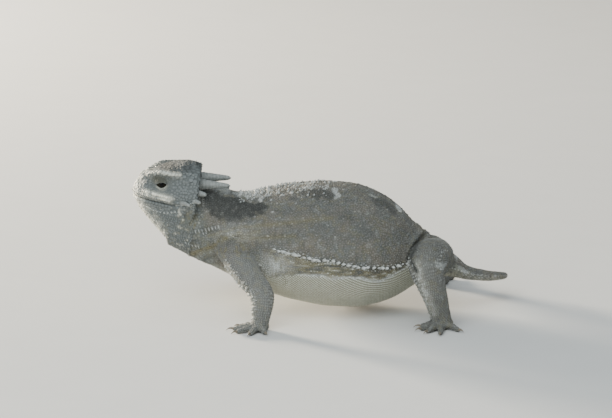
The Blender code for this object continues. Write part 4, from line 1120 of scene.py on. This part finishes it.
def regionSpacing():
    # the spacing of scales at each skin point, and the region that it belongs to
    part = skinGuide[1]
    x, y, z = skinPoints.T
    height = sideHeight(skinPoints)
    isTrunk, isHead = isPart(part, "trunk"), isPart(part, "head")
    rear = isTrunk & (x > coat["bodyFront"])
    mouth = mouthHeight(x, y)
    brow = between(x, [(station, line[1]) for station, line in zip(head["stations"], head["lines"][2])])
    away = np.hypot(x - eyePlace["x"], z - eyePlace["z"])
    region = np.full(len(skinPoints), "leg", dtype=object)
    for name, where in (
        ("foot", footParts[part]),
        ("tail", isPart(part, "tail")),
        ("back", isTrunk),
        ("flank", rear & (height < between(x, marks["fringe"]) + 0.4)),
        ("belly", rear & (height < between(x, marks["lowLine"]))),
        ("neck", isTrunk & ~rear & (height < coat["neckTop"])),
        ("face", (isTrunk | isHead) & (x < coat["faceRear"])),
        ("crown", isHead & (z > brow - coat["crownDrop"])),
        ("throat", isHead & (z < mouth - coat["throatDrop"])),
        ("eyeRing", isHead & (away < coat["eyeRing"][1])),
    ):
        region[where] = name
    spacing = np.array([coat["spacing"][name] for name in region])
    bare = (away < coat["eyeRing"][0]) & (np.abs(y) > 4)
    bare |= (np.abs(z - mouth) < coat["mouthGap"]) & (x < head["mouth"]["cornerX"] - 0.4)
    bare |= earHole(skinPoints) < coat["earGap"]
    spacing[(bare & isHead) | (z < coat["floorGap"])] = 0
    return spacing, region


spacing, region = regionSpacing()


def regionRoots(name, seed):
    return scatter(np.where(region == name, spacing, 0), seed)


def plainCoat(name, regionName, seed, shapeName, size, lean):
    buildCoat(name, [stamp(shapeName, regionRoots(regionName, seed), size, lean, seed + 1)])


def coatBack():
    roots = regionRoots("back", 21)
    large = np.random.default_rng(22).random(len(roots.points)) < 0.05
    fore = roots.points[:, 0] < 5.0
    for name, half in (("foreBackScales", fore), ("rearBackScales", ~fore)):
        pieces = [stamp("grain", roots.only(half & ~large), (0.60, 0.56, 0.20), 0.07, 23)]
        pieces.append(stamp("keeled", roots.only(half & large), (0.80, 0.64, 0.36), 0.14, 24))
        buildCoat(name, pieces)


def coatBelly():
    # slanting rows over the underside, laid out from the middle line
    belly = coat["belly"]
    turn = np.linspace(math.pi, math.pi * 0.42, 160)
    places, ways = [], []
    for x in np.arange(*belly["ends"], belly["pitch"]):
        arc = trunkPoints(x, turn)
        first = (belly["slant"] * x) % belly["rowPitch"]
        row = evenRows(arc, belly["rowPitch"], first)
        rise = unit(evenRows(arc, belly["rowPitch"], first, np.gradient(arc, axis=0)))
        way = np.array((1.0, 0.0, 0.0)) + rise * belly["slant"]
        other = row[:, 1] > 0.1
        places += [row, (row * (1, -1, 1))[other]]
        ways += [way, (way * (1, -1, 1))[other]]
    roots = rootsAt(np.concatenate(places), belly["spacing"])
    low = sideHeight(roots.points) < between(roots.points[:, 0], marks["lowLine"]) + 0.1
    inside = isPart(roots.part, "trunk") & low
    ways = np.concatenate(ways)[inside]
    pieces = [stamp("grain", roots.only(inside), (0.64, 0.52, 0.42), 0.10, 31, 0.08, ways=ways)]
    buildCoat("bellyScales", pieces, "belly")


def coatHead():
    throat = regionRoots("throat", 65)
    hanging = np.tile((0.15, 0.0, -1.0), (len(throat.points), 1))
    pieces = [
        stamp("plate", regionRoots("crown", 61), (0.62, 0.58, 0.05), 0.0, 62, 0.12),
        stamp("plate", regionRoots("face", 63), (0.60, 0.56, 0.13), 0.03, 64, 0.15),
        stamp("keeled", throat, (0.62, 0.46, 0.34), 0.10, 66, ways=hanging),
        stamp("grain", regionRoots("eyeRing", 67), (0.58, 0.54, 0.36), 0.05, 68),
    ]
    buildCoat("headScales", pieces)


def sideCast(places, side):
    # points of the skin that a side view shows at places (x, height)
    far = coat["castFrom"]
    hits = []
    for x, height in places:
        level = height - camera["nearSide"] * sideSin
        start = (x, side * (far * sideCos - level * sideSin), level * sideCos + far * sideSin)
        hits.append(castAt(start, (0.0, -side * sideCos, -sideSin)))
    return [hit for hit in hits if hit is not None]


def sideRow(line, pitch, side):
    # evenly spaced roots along a smooth line that a side view shows
    return rootsAt(sideCast(evenRows(smoothRows(line, 60), pitch), side), pitch)


def lipRow(offset, pitch, reach, spacing):
    # places round the snout, above or below the line of the mouth
    cornerX = head["mouth"]["cornerX"]
    hits = []
    for turn in np.radians(np.linspace(-reach, reach, 241)):
        way = np.array((-math.cos(turn), math.sin(turn), 0.0))
        z = float(mouthHeight(cornerX + way[0], way[1])) + offset
        hits.append(castAt(np.array((cornerX, 0.0, z)) + way * coat["castFrom"] / 2, -way))
    return rootsAt(evenRows(np.array([hit for hit in hits if hit is not None]), pitch), spacing)


def coatLips():
    pieces = []
    for seed, offset, pitch, reach, width, size, lean, vary in (
        (131, 0.50, 0.95, 84, 0.92, (0.56, 0.46, 0.14), 0.02, 0.1),
        (132, -0.50, 0.98, 80, 0.92, (0.56, 0.46, 0.14), 0.02, 0.1),
        (133, 1.28, 0.82, 80, 0.80, (0.56, 0.52, 0.18), 0.05, 0.15),
        (134, -1.28, 0.84, 78, 0.80, (0.56, 0.52, 0.18), 0.05, 0.15),
    ):
        pieces.append(stamp("plate", lipRow(offset, pitch, reach, width), size, lean, seed, vary))
    lowLine = [(x + 0.3, height - 0.85) for x, height in head["underEye"]]
    for side, _ in sides:
        for seed, line, pitch, size, lean, vary in (
            (136, head["brow"], 0.90, (0.72, 0.50, 0.26), 0.12, 0.15),
            (139, head["underEye"], 0.62, (0.66, 0.56, 0.62), 0.20, 0.30),
            (142, lowLine, 0.60, (0.66, 0.56, 0.62), 0.20, 0.30),
        ):
            pieces.append(stamp("plate", sideRow(line, pitch, side), size, lean, seed + side, vary))
    buildCoat("lipAndBrowPlates", pieces)


def ringRoots(axis, part, along, around, seed):
    # roots in rings round a limb, each ring turned by half a step against the last, and others in the gaps
    work = coat["rings"]
    draw = np.random.default_rng(seed)
    centres = evenRows(smoothRows(axis, work["steps"]), along)
    ahead = unit(np.gradient(centres, axis=0))
    across = unit(np.cross(ahead, work["aside"]))
    over = np.cross(ahead, across)
    hits = []
    for k, centre in enumerate(centres):
        reach = skinSurface.ray_cast(Vector(centre), Vector(across[k]))[3]
        if reach is None:
            continue
        count = max(8, int(fullTurn * min(reach, work["farthest"]) / around))
        for turn in fullTurn * (np.arange(count) + 0.5 * (k % 2) + draw.uniform(-0.12, 0.12, count)) / count:
            way = across[k] * math.cos(turn) + over[k] * math.sin(turn) + ahead[k] * draw.uniform(-0.02, 0.02)
            hits.append(castAt(centre, way))
    rings = rootsAt([hit for hit in hits if hit is not None], (along + around) / 2)
    rings = rings.only(isPart(rings.part, part))
    tree = nearTree(rings.points)
    bare = isPart(skinGuide[1], part) & (skinPoints[:, 2] > coat["floorGap"])
    others = scatter(np.where(bare, around * work["gaps"], 0), seed + 9)
    free = np.array([tree.find(point)[2] > work["clear"] * around for point in others.points])
    return rings, others.only(free)


def coatLegs(kind, seed):
    pieces = []
    for side, word in sides:
        name = f"{kind}_{word}"
        rings, others = ringRoots(legs[name]["axis"], name, 0.56, 0.60, seed + side)
        pieces.append(stamp("keeled", rings, (0.62, 0.52, 0.28), 0.14, seed + 2 + side, 0.15))
        pieces.append(stamp("keeled", others, (0.62, 0.54, 0.30), 0.14, seed + 20 + side, 0.15))
    buildCoat(kind + "Scales", pieces)


def coatTail():
    axis = [row[:3] for row in tail["stations"]] + [tail["tip"]]
    rings, others = ringRoots(axis, "tail", 0.62, 0.60, 91)
    pieces = [stamp("keeled", rings, (0.66, 0.52, 0.28), 0.14, 92)]
    pieces.append(stamp("keeled", others, (0.64, 0.54, 0.28), 0.14, 93))
    buildCoat("tailScales", pieces)


coatBack()
coatBelly()
plainCoat("flankScales", "flank", 41, "grain", (0.60, 0.52, 0.30), 0.08)
plainCoat("neckScales", "neck", 51, "grain", (0.60, 0.54, 0.30), 0.10)
coatHead()
coatLips()
coatLegs("foreleg", 71)
coatLegs("hindleg", 76)
plainCoat("footScales", "foot", 81, "keeled", (0.62, 0.54, 0.28), 0.12)
coatTail()
print("coat is on")


# Spines: the fringe of the flank, the scattered spines of back, neck, jaw, legs and tail

spines = {
    "fringe": {"step": 1.32, "length": 1.95, "radius": 0.6, "rear": 28.6},
    "fringeRows": ((0, 1, 1), (-0.55, 0.75, 0.42), (0.6, 0.9, 0.45)),  # drop, share of the step, size
    "dorsal": {"spacing": 3, "length": 0.62, "radius": 0.34, "front": -24},
    "crest": {
        "count": 240, "ends": (-16.5, 8), "spread": 0.22, "edge": 0.42,
        "length": (0.45, 1), "radius": 0.34,
    },
    "rows": (  # line in side view, step, length, radius, way, kind of pale
        (((-28.6, 26), (-24.6, 26.6), (-21, 27.4)), 0.92, 1.3, 0.27, (0.3, 0.55, -0.85), "crest"),
        (((-31.2, 23.2), (-29.2, 22.3), (-27.2, 21.9)), 0.92, 1.15, 0.25, (0.3, 0.55, -0.85), "crest"),
        (((-26.4, 25.3), (-25.2, 25.5)), 0.8, 0.8, 0.25, (0.3, 0.6, -0.7), "crest"),
        (((-19.6, 25.5), (-17.8, 24.5)), 0.8, 0.55, 0.3, (0.4, 0.8, -0.3), "crest"),
        (
            ((-41.6, 32.8), (-38.6, 31.3), (-35.8, 30.9), (-33.2, 31.2)),
            1, 0.6, 0.33, (0.1, 0.85, -0.45), "crest",
        ),
        (((-39.4, 29.4), (-36.8, 28.4), (-34.4, 28.2)), 1.15, 0.45, 0.26, (0.2, 0.85, -0.5), "spines"),
        (
            ((-33.4, 32.7), (-32.3, 32.9), (-29.7, 33.3), (-27.4, 34)),
            0.62, 0.85, 0.28, (0.75, 0.8, -0.05), "crest",
        ),
        (((-26.6, 36.6), (-26.3, 34.6), (-26, 32.2)), 0.6, 0.7, 0.26, (0.9, 0.5, 0), "spines"),
        (((-31.6, 41.4), (-29.4, 41.2), (-27.4, 40.2)), 0.85, 0.75, 0.34, (0.8, 0.45, 0.45), "spines"),
        (((-21, 27.9), (-15, 28), (-12.6, 27.2)), 1.4, 0.6, 0.26, (0.7, 0.7, 0), "spines"),
    ),
    "limbs": (  # limb, first and last share of its axis, count, outward way, length, radius
        ("foreleg", 0.24, 0.93, 30, (-1, 0.5, 0.15), 1.2, 0.34),
        ("foreleg", 0.26, 0.9, 28, (-1, 0.15, -0.2), 1.15, 0.34),
        ("foreleg", 0.3, 0.8, 18, (-0.9, 0.95, 0.2), 0.9, 0.3),
        ("foreleg", 0.45, 0.8, 9, (0.9, 0.55, 0.1), 0.5, 0.25),
        ("hindleg", 0.45, 0.93, 30, (-1, 0.45, 0), 0.95, 0.34),
        ("hindleg", 0.48, 0.9, 26, (-1, 0.95, 0), 0.85, 0.32),
        ("hindleg", 0.36, 0.62, 8, (0.9, 0.25, 0.75), 0.8, 0.32),
    ),
    "tail": ((0.1, 30, 0.55), (0.8, 20, 0.4)),  # turn above the side, count, length
    "tailWork": {"ends": (14, 185), "radius": 0.30, "lean": 0.9},
    "limbLean": 0.6,
    "axisSteps": 200,
}


def spineStamp(roots, ways, length, radius, seed, vary=0.18, flat=1.0):
    # spines stand along their own ways, so the shape's upright axis follows the way
    draw = np.random.default_rng(seed)
    count = len(roots.points)
    ways = unit(unit(ways) + draw.normal(0, 0.07, (count, 3)))
    lie = unit(np.cross(np.cross(ways, roots.lie), ways) + 1e-6)
    share = (1 + vary * draw.uniform(-1, 1, count)) * length
    turned = Roots(roots.points, ways, lie, roots.part, roots.sheet, share)
    size = (radius / np.mean(length), radius * flat / np.mean(length), 1.0)
    return stamp("spine", turned, size, 0.0, seed, 0.0, 0.25, ways=lie)


def modelFringe():
    fringe = spines["fringe"]
    start = marks["fringe"][0][0] + 0.5
    stamps = []
    for row, (drop, share, small) in enumerate(spines["fringeRows"]):
        draw = np.random.default_rng(100 + row)
        step = fringe["step"] * share
        x = np.arange(start + 0.3 * row, fringe["rear"], step)
        x = x + draw.uniform(-0.22, 0.22, len(x)) * step
        height = between(x, marks["fringe"]) + drop + draw.uniform(-0.16, 0.16, len(x))
        for side, _ in sides:
            roots = rootsAt(sideCast(np.stack([x, height], axis=1), side))
            count = len(roots.points)
            ways = np.tile((0.40, side * 0.85, 0.16), (count, 1)) + draw.normal(0, 0.14, (count, 3))
            lengths = fringe["length"] * small * draw.uniform(0.75, 1.2, count)
            lengths = lengths * (1 - 0.4 * smoothStep(25.5, 28.5, roots.points[:, 0]))
            seed = 101 + row * 2 + side
            stamps.append(spineStamp(roots, ways, lengths, fringe["radius"] * small, seed, flat=0.80))
    buildCoat("fringeSpines", stamps[:2], "fringe")
    buildCoat("fringeEdge", stamps[2:], "crest")


def modelBackSpines():
    dorsal = spines["dorsal"]
    roots = scatter(np.where(region == "back", dorsal["spacing"], 0), 111)
    high = sideHeight(roots.points) > between(roots.points[:, 0], marks["fringe"]) + 3.0
    bare = markings(roots.points, roots.part)["dark"] < 0.45
    roots = roots.only(high & bare & (roots.points[:, 0] > dorsal["front"]))
    lengths = dorsal["length"] * (0.75 + 0.45 * np.clip((8 - roots.points[:, 0]) / 20, 0, 1))
    ways = roots.normals + np.array((0.65, 0, 0.1))
    buildCoat("backSpines", [spineStamp(roots, ways, lengths, dorsal["radius"], 112)], "spines")


def modelCrest():
    # the pointed pale scales along the middle of the nape and the fore back
    crest = spines["crest"]
    draw = np.random.default_rng(116)
    x = draw.uniform(*crest["ends"], crest["count"])
    angle = np.clip(draw.normal(0, crest["spread"], crest["count"]), -crest["edge"], crest["edge"])
    roots = rootsAt(trunkPoints(x, angle))
    lengths = draw.uniform(*crest["length"], crest["count"]) * (0.8 + 0.35 * bell(x + 9, 8))
    ways = roots.normals + np.array((0.40, 0, 0.4))
    buildCoat("crestSpines", [spineStamp(roots, ways, lengths, crest["radius"], 117)], "crest")


def modelRows(kind):
    # the rows of pointed scales on jaw, throat, neck and temple
    stamps = []
    for k, (line, step, length, radius, way, pale) in enumerate(spines["rows"]):
        for side, _ in sides if pale == kind else ():
            roots = sideRow(line, step, side)
            ways = np.tile((way[0], side * way[1], way[2]), (len(roots.points), 1))
            stamps.append(spineStamp(roots, ways, length, radius, 200 + 2 * k + side, vary=0.25))
    buildCoat(kind + "Rows", stamps, kind)


def axisSpines(axis, places, outward, lean, length, radius, seed):
    # spines where ways out from a limb's smooth axis leave the skin
    hits, ways = [], []
    for place in places.astype(int):
        ahead = unit(axis[min(place + 1, len(axis) - 1)] - axis[place - 1])
        out = outward(ahead)
        hit = castAt(axis[place], out)
        if hit is not None:
            hits.append(hit)
            ways.append(out + lean * ahead)
    return spineStamp(rootsAt(hits), np.array(ways), length, radius, seed, vary=0.25)


def modelLimbSpines():
    steps, lean, tailWork = spines["axisSteps"], spines["limbLean"], spines["tailWork"]
    stamps = []
    for k, (limb, first, last, count, way, length, radius) in enumerate(spines["limbs"]):
        for side, word in sides:
            axis = smoothRows(legs[f"{limb}_{word}"]["axis"], steps)
            draw = np.random.default_rng(240 + 2 * k + side)
            away = np.array((way[0], side * way[1], way[2]))
            places = np.clip(np.linspace(first, last, count) + draw.uniform(-0.008, 0.008, count), 0, 1)

            def outward(ahead):
                return unit(away - ahead * away.dot(ahead) + draw.normal(0, 0.08, 3))

            seed = 260 + 2 * k + side
            stamps.append(axisSpines(axis, places * (steps - 1), outward, lean, length, radius, seed))
    axis = smoothRows([row[:3] for row in tail["stations"]], steps)
    for side, _ in sides:
        for tilt, count, length in spines["tail"]:

            def outward(ahead):
                flat = unit(np.cross(upward, ahead)) * side
                return flat * math.cos(tilt) + np.array(upward) * math.sin(tilt)

            seed = 290 + int(10 * tilt) + side
            places = np.linspace(*tailWork["ends"], count)
            row = axisSpines(axis, places, outward, tailWork["lean"], length, tailWork["radius"], seed)
            stamps.append(row)
    buildCoat("limbSpines", stamps, "limb")


modelFringe()
modelBackSpines()
modelCrest()
modelRows("crest")
modelRows("spines")
modelLimbSpines()
print("spines are on")


# Horns, claws, eyes and lids

def hornFinish():
    shop = Shop("hornSheath")
    place = shop.node("SeparateXYZ", None, {0: shop.objectPlace}, output="X")
    rings = shop.sum("SINE", place * 7500.0 + 3.0 * shop.noise(500.0))
    grain = shop.noise(1500.0, 4.0)
    colour = shop.blend(shop.ramp(grain, 0.3, 0.7), (0.170, 0.182, 0.176), (0.280, 0.292, 0.282))
    colour = shop.blend(0.25 * shop.ramp(rings, 0.0, 1.0), colour, (0.11, 0.115, 0.11))
    normal = shop.bump(rings + 2.0 * grain, 0.35, 0.00012)
    return shop.finish(colour=colour, roughness=0.45 + 0.25 * grain, normal=normal, specular=0.4)


def clawFinish():
    shop = Shop("claw")
    grain = shop.noise(2500.0, 3.0)
    colour = shop.blend(grain, (0.10, 0.085, 0.065), (0.24, 0.20, 0.15))
    return shop.finish(colour=colour, roughness=0.30 + 0.2 * grain, specular=0.5)


def eyeFinish(side):
    shop = Shop("eye" + ("Left" if side < 0 else "Right"))
    centre = tuple(-placed(eyeCentre(side)))
    mapping = shop.node("Mapping", None, {"Vector": shop.objectPlace, "Location": centre})
    x, z = (shop.node("SeparateXYZ", None, {0: mapping}, output=axis) for axis in "XZ")
    radius = shop.sum("SQRT", x * x + z * z) * 1000.0
    iris = shop.blend(shop.noise(2600.0, 4.0), (0.008, 0.007, 0.005), (0.022, 0.019, 0.011))
    colour = shop.blend(shop.ramp(radius, 0.55, 0.66), (0.002, 0.002, 0.002), iris)
    colour = shop.blend(shop.ramp(radius, 1.15, 1.35), colour, (0.014, 0.012, 0.008))
    return shop.finish(colour=colour, roughness=0.12, specular=0.08, coat=0.10, coatRoughness=0.03)


def finishPiece(piece, name, slot, material, *nodes):
    bpy.ops.object.shade_smooth()
    piece.name = name
    piece.data.name = name
    piece.data.materials.clear()
    piece.data.materials.append(material)
    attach(piece, "root")
    if nodes:
        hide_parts(*nodes)


def ballLines(obj):
    # each point's share of the way from the upper pole to the lower, its turn and its distance from the axis
    x, y, z = pointsOf(obj).T
    return np.arccos(np.clip(z, -1, 1)) / math.pi, np.arctan2(y, x), np.hypot(x, y)


horns = (  # name, root, way, length, radius at the root and at the tip
    ("occipital_horn", (-27.4, 4.7, 35.1), (1, 0.08, -0.01), 8.8, 1.65, 0.45),
    ("temporal_horn_1", (-27.8, 9, 33.6), (1, 0.32, -0.04), 3, 1.15, 0.4),
    ("temporal_horn_2", (-29.2, 10.3, 31.9), (0.78, 0.62, -0.04), 3.5, 1, 0.32),
    ("temporal_horn_3", (-31.4, 10.3, 31.2), (0.62, 0.78, -0.03), 3.2, 0.85, 0.28),
)
hornWork = {"bury": 0.6, "droop": -0.25, "bluntFrom": 0.86, "bluntOver": 0.15}


def modelHorn(root, way, length, rootRadius, tipRadius, side):
    # a sphere primitive drawn out along the horn, then bent and blunted
    horn = ball(20, 18)
    along, turn, off = ballLines(horn)
    ridge = 1 + 0.05 * np.sin(along * 34) * (1 - along) + 0.04 * np.sin(turn * 5 + 1)
    radius = (rootRadius * 1.04 + (tipRadius - rootRadius) * along**0.9) * ridge
    blunt = np.sqrt(np.clip(1 - ((along - hornWork["bluntFrom"]) / hornWork["bluntOver"]) ** 2, 0, 1))
    radius = radius * np.where(along > hornWork["bluntFrom"], blunt, 1.0) * (off >= 1e-4)
    ahead = unit(np.array(way) * (1, side, 1))
    across = unit(np.cross(ahead, upward))
    over = np.cross(across, ahead)
    reach = ahead * (along * (length + hornWork["bury"]))[:, None]
    droop = np.array((0, 0, hornWork["droop"])) * (along**2)[:, None]
    start = np.array(root) * (1, side, 1) - ahead * hornWork["bury"]
    ring = across * np.cos(turn)[:, None] + over * np.sin(turn)[:, None]
    setPoints(horn, placed(start + reach + droop + ring * radius[:, None]))
    editAll(bpy.ops.mesh.normals_make_consistent, inside=False)
    return horn


def modelHorns():
    material = hornFinish()
    for side, word in sides:
        for name, *measures in horns:
            node = f"{name}_{word}"
            finishPiece(modelHorn(*measures, side), node + "_sheath", "horn", material, node)


def modelClaw(tip, ahead):
    claw = ball(12, 12)
    along, turn, off = ballLines(claw)
    radius = toe["clawRadius"] * (1 - along) ** 0.75 * (off > 1e-4)
    hook = toe["hook"] * np.sin(along * math.pi * 0.9) - toe["hook"] * along**2
    points = tip + ahead * (along * (toe["clawLength"] + 0.6) - 0.2)[:, None]
    points += np.cross(ahead, upward) * (radius * np.cos(turn) * 0.8)[:, None]
    points[:, 2] = np.maximum(points[:, 2] + hook + radius * np.sin(turn), 0.02)
    setPoints(claw, placed(points))
    return claw


def modelClaws():
    material = clawFinish()
    for part, places in clawPlaces.items():
        claws = joined([modelClaw(tip, ahead) for tip, ahead in places])
        editAll(bpy.ops.mesh.normals_make_consistent, inside=False)
        finishPiece(claws, "claws_" + part, "horn", material)


lids = {
    "radius": 1.84,
    "thickness": 0.30,
    "upper": {"sign": 1, "edge": 18.0, "ends": (18.0, 112.0)},
    "lower": {"sign": -1, "edge": -26.0, "ends": (-112.0, -26.0)},
    "corner": 0.66,
    "cornerDrop": 3.0,
    "softness": 40.0,
    "grainPitch": 0.34,
    "grainRows": 7,
    "grainStart": 6.0,
}


def lidEdge(across, lidName):
    # the angle of a lid's edge, in degrees, at a place across the eye from -1 to 1
    wide = np.clip(1 - (across / lids["corner"]) ** 2, 0, 1) ** 0.62
    return lids[lidName]["edge"] * wide - lids["cornerDrop"] * (1 - wide)


def modelEye(side, word):
    eye = ball(48, 32, eyePlace["radius"] * mm, tuple(placed(eyeCentre(side))))
    bpy.ops.object.transform_apply(location=True, rotation=True, scale=True)
    finishPiece(eye, "eyeball_" + word, "eye", eyeFinish(side), "eye_" + word)


def modelLid(side, word, lidName):
    # the sphere's poles become the corners of the eye, and the lid's edge is drawn into an almond
    low, high = lids[lidName]["ends"]
    lid = ball(72, 36)
    points = pointsOf(lid)
    turn = np.degrees(np.arctan2(points[:, 1], points[:, 0]))
    wide = np.hypot(points[:, 0], points[:, 1])
    edge = lidEdge(points[:, 2], lidName)
    turned = np.radians(turn + (edge - lids[lidName]["edge"]) * bell(turn - edge, lids["softness"]))
    points = np.stack([points[:, 2], side * wide * np.cos(turned), wide * np.sin(turned)], axis=1)
    setPoints(lid, placed(points * lids["radius"] + eyeCentre(side)))
    editAll(bpy.ops.mesh.select_all, action="DESELECT")
    for face in lid.data.polygons:
        corners = turn[list(face.vertices)]
        face.select = not (low < np.mean(corners) < high) or np.ptp(corners) > 90
    bpy.ops.object.mode_set(mode="EDIT")
    bpy.ops.mesh.delete(type="FACE")
    bpy.ops.object.mode_set(mode="OBJECT")
    editAll(bpy.ops.mesh.normals_make_consistent, inside=False)
    shape(lid, "wall", "SOLIDIFY", thickness=lids["thickness"] * mm, offset=1.0)
    lidPoints = drawn(pointsOf(lid))
    giveTones(lid, markings(lidPoints, np.full(len(lidPoints), partNames.index("head"))))
    finishPiece(lid, f"{lidName}Lid_{word}", "head_scales", finishes["skin"])


def coatLids():
    # rows of grains that follow the edges of the lids
    radius = lids["radius"] + lids["thickness"] * 0.9
    pitch = lids["grainPitch"]
    stamps = []
    for side, _ in sides:
        for lidName in ("upper", "lower"):
            sign = lids[lidName]["sign"]
            outward = []
            for row in range(lids["grainRows"]):
                off = lids["grainStart"] + row * math.degrees(pitch / radius)
                steps = np.arange(-0.86, 0.861, pitch / radius * 0.95) + 0.08 * (row % 2)
                turn = np.radians(lidEdge(steps, lidName) + sign * off)
                wide = np.sqrt(np.clip(1 - steps**2, 0, 1))
                outward.append(np.stack([steps, side * wide * np.cos(turn), wide * np.sin(turn)], axis=1))
            outward = np.concatenate(outward)
            places = eyeCentre(side) + outward * radius
            roots = rootsAt(places, pitch)
            roots.points, roots.normals = places, outward
            roots.part[:] = partNames.index("head")
            ways = np.tile((1.0, 0.0, 0.0), (len(outward), 1))
            seed = 150 + side * 2 + sign
            stamps.append(stamp("grain", roots, (0.60, 0.50, 0.42), 0.03, seed, 0.2, ways=ways))
    buildCoat("lidScales", stamps)


modelHorns()
modelClaws()
for side, word in sides:
    modelEye(side, word)
    modelLid(side, word, "upper")
    modelLid(side, word, "lower")
coatLids()
print("horns, claws and eyes are in")


# Floor, light and camera

def modelStage():
    pickOnly()
    bpy.ops.mesh.primitive_plane_add(size=4.0, location=(0, 0, 0))
    floor = bpy.context.active_object
    floor.name = "floor"
    shop = Shop("paleFloor")
    colour = shop.blend(shop.noise(60.0, 5.0), (0.62, 0.615, 0.60), (0.66, 0.655, 0.64))
    floor.data.materials.append(shop.finish(colour=colour, roughness=0.85, specular=0.2))


lights = {
    "sun": {"place": (-0.60, 0.57, 0.10), "size": 0.20, "energy": 46.0, "colour": (1.0, 0.90, 0.72)},
    "fill": {"place": (-0.24, -0.72, 0.56), "size": 0.9, "energy": 9.2, "colour": (0.92, 0.99, 1.0)},
    "top": {"place": (0.25, -0.20, 0.85), "size": 0.9, "energy": 1.5, "colour": (0.92, 0.99, 1.0)},
}
world = {"colour": (0.82, 0.90, 0.95, 1.0), "strength": 0.47}
lightAim = (0, 0, 0.02)


def modelLights():
    for name, light in lights.items():
        data = bpy.data.lights.new(name, "AREA")
        data.shape = "DISK"
        data.size = light["size"]
        data.energy = light["energy"]
        data.color = light["colour"]
        lamp = bpy.data.objects.new(name, data)
        bpy.context.scene.collection.objects.link(lamp)
        lamp.location = light["place"]
        lamp.rotation_euler = (Vector(lightAim) - Vector(light["place"])).to_track_quat("-Z", "Y").to_euler()
    studio = bpy.data.worlds.new("studio")
    studio.use_nodes = True
    background = studio.node_tree.nodes["Background"]
    background.inputs["Color"].default_value = world["colour"]
    background.inputs["Strength"].default_value = world["strength"]
    bpy.context.scene.world = studio


def modelCamera():
    data = bpy.data.cameras.new("camera")
    data.lens = camera["lens"]
    data.sensor_width = 36.0
    data.clip_start = 0.01
    eye = bpy.data.objects.new("camera", data)
    bpy.context.scene.collection.objects.link(eye)
    back = Vector((0.0, -sideCos, sideSin))
    eye.location = Vector(placed(camera["aim"])) + back * camera["distance"]
    eye.rotation_euler = (-back).to_track_quat("-Z", "Y").to_euler()
    bpy.context.scene.camera = eye


modelStage()
modelLights()
modelCamera()
print("stage is set")
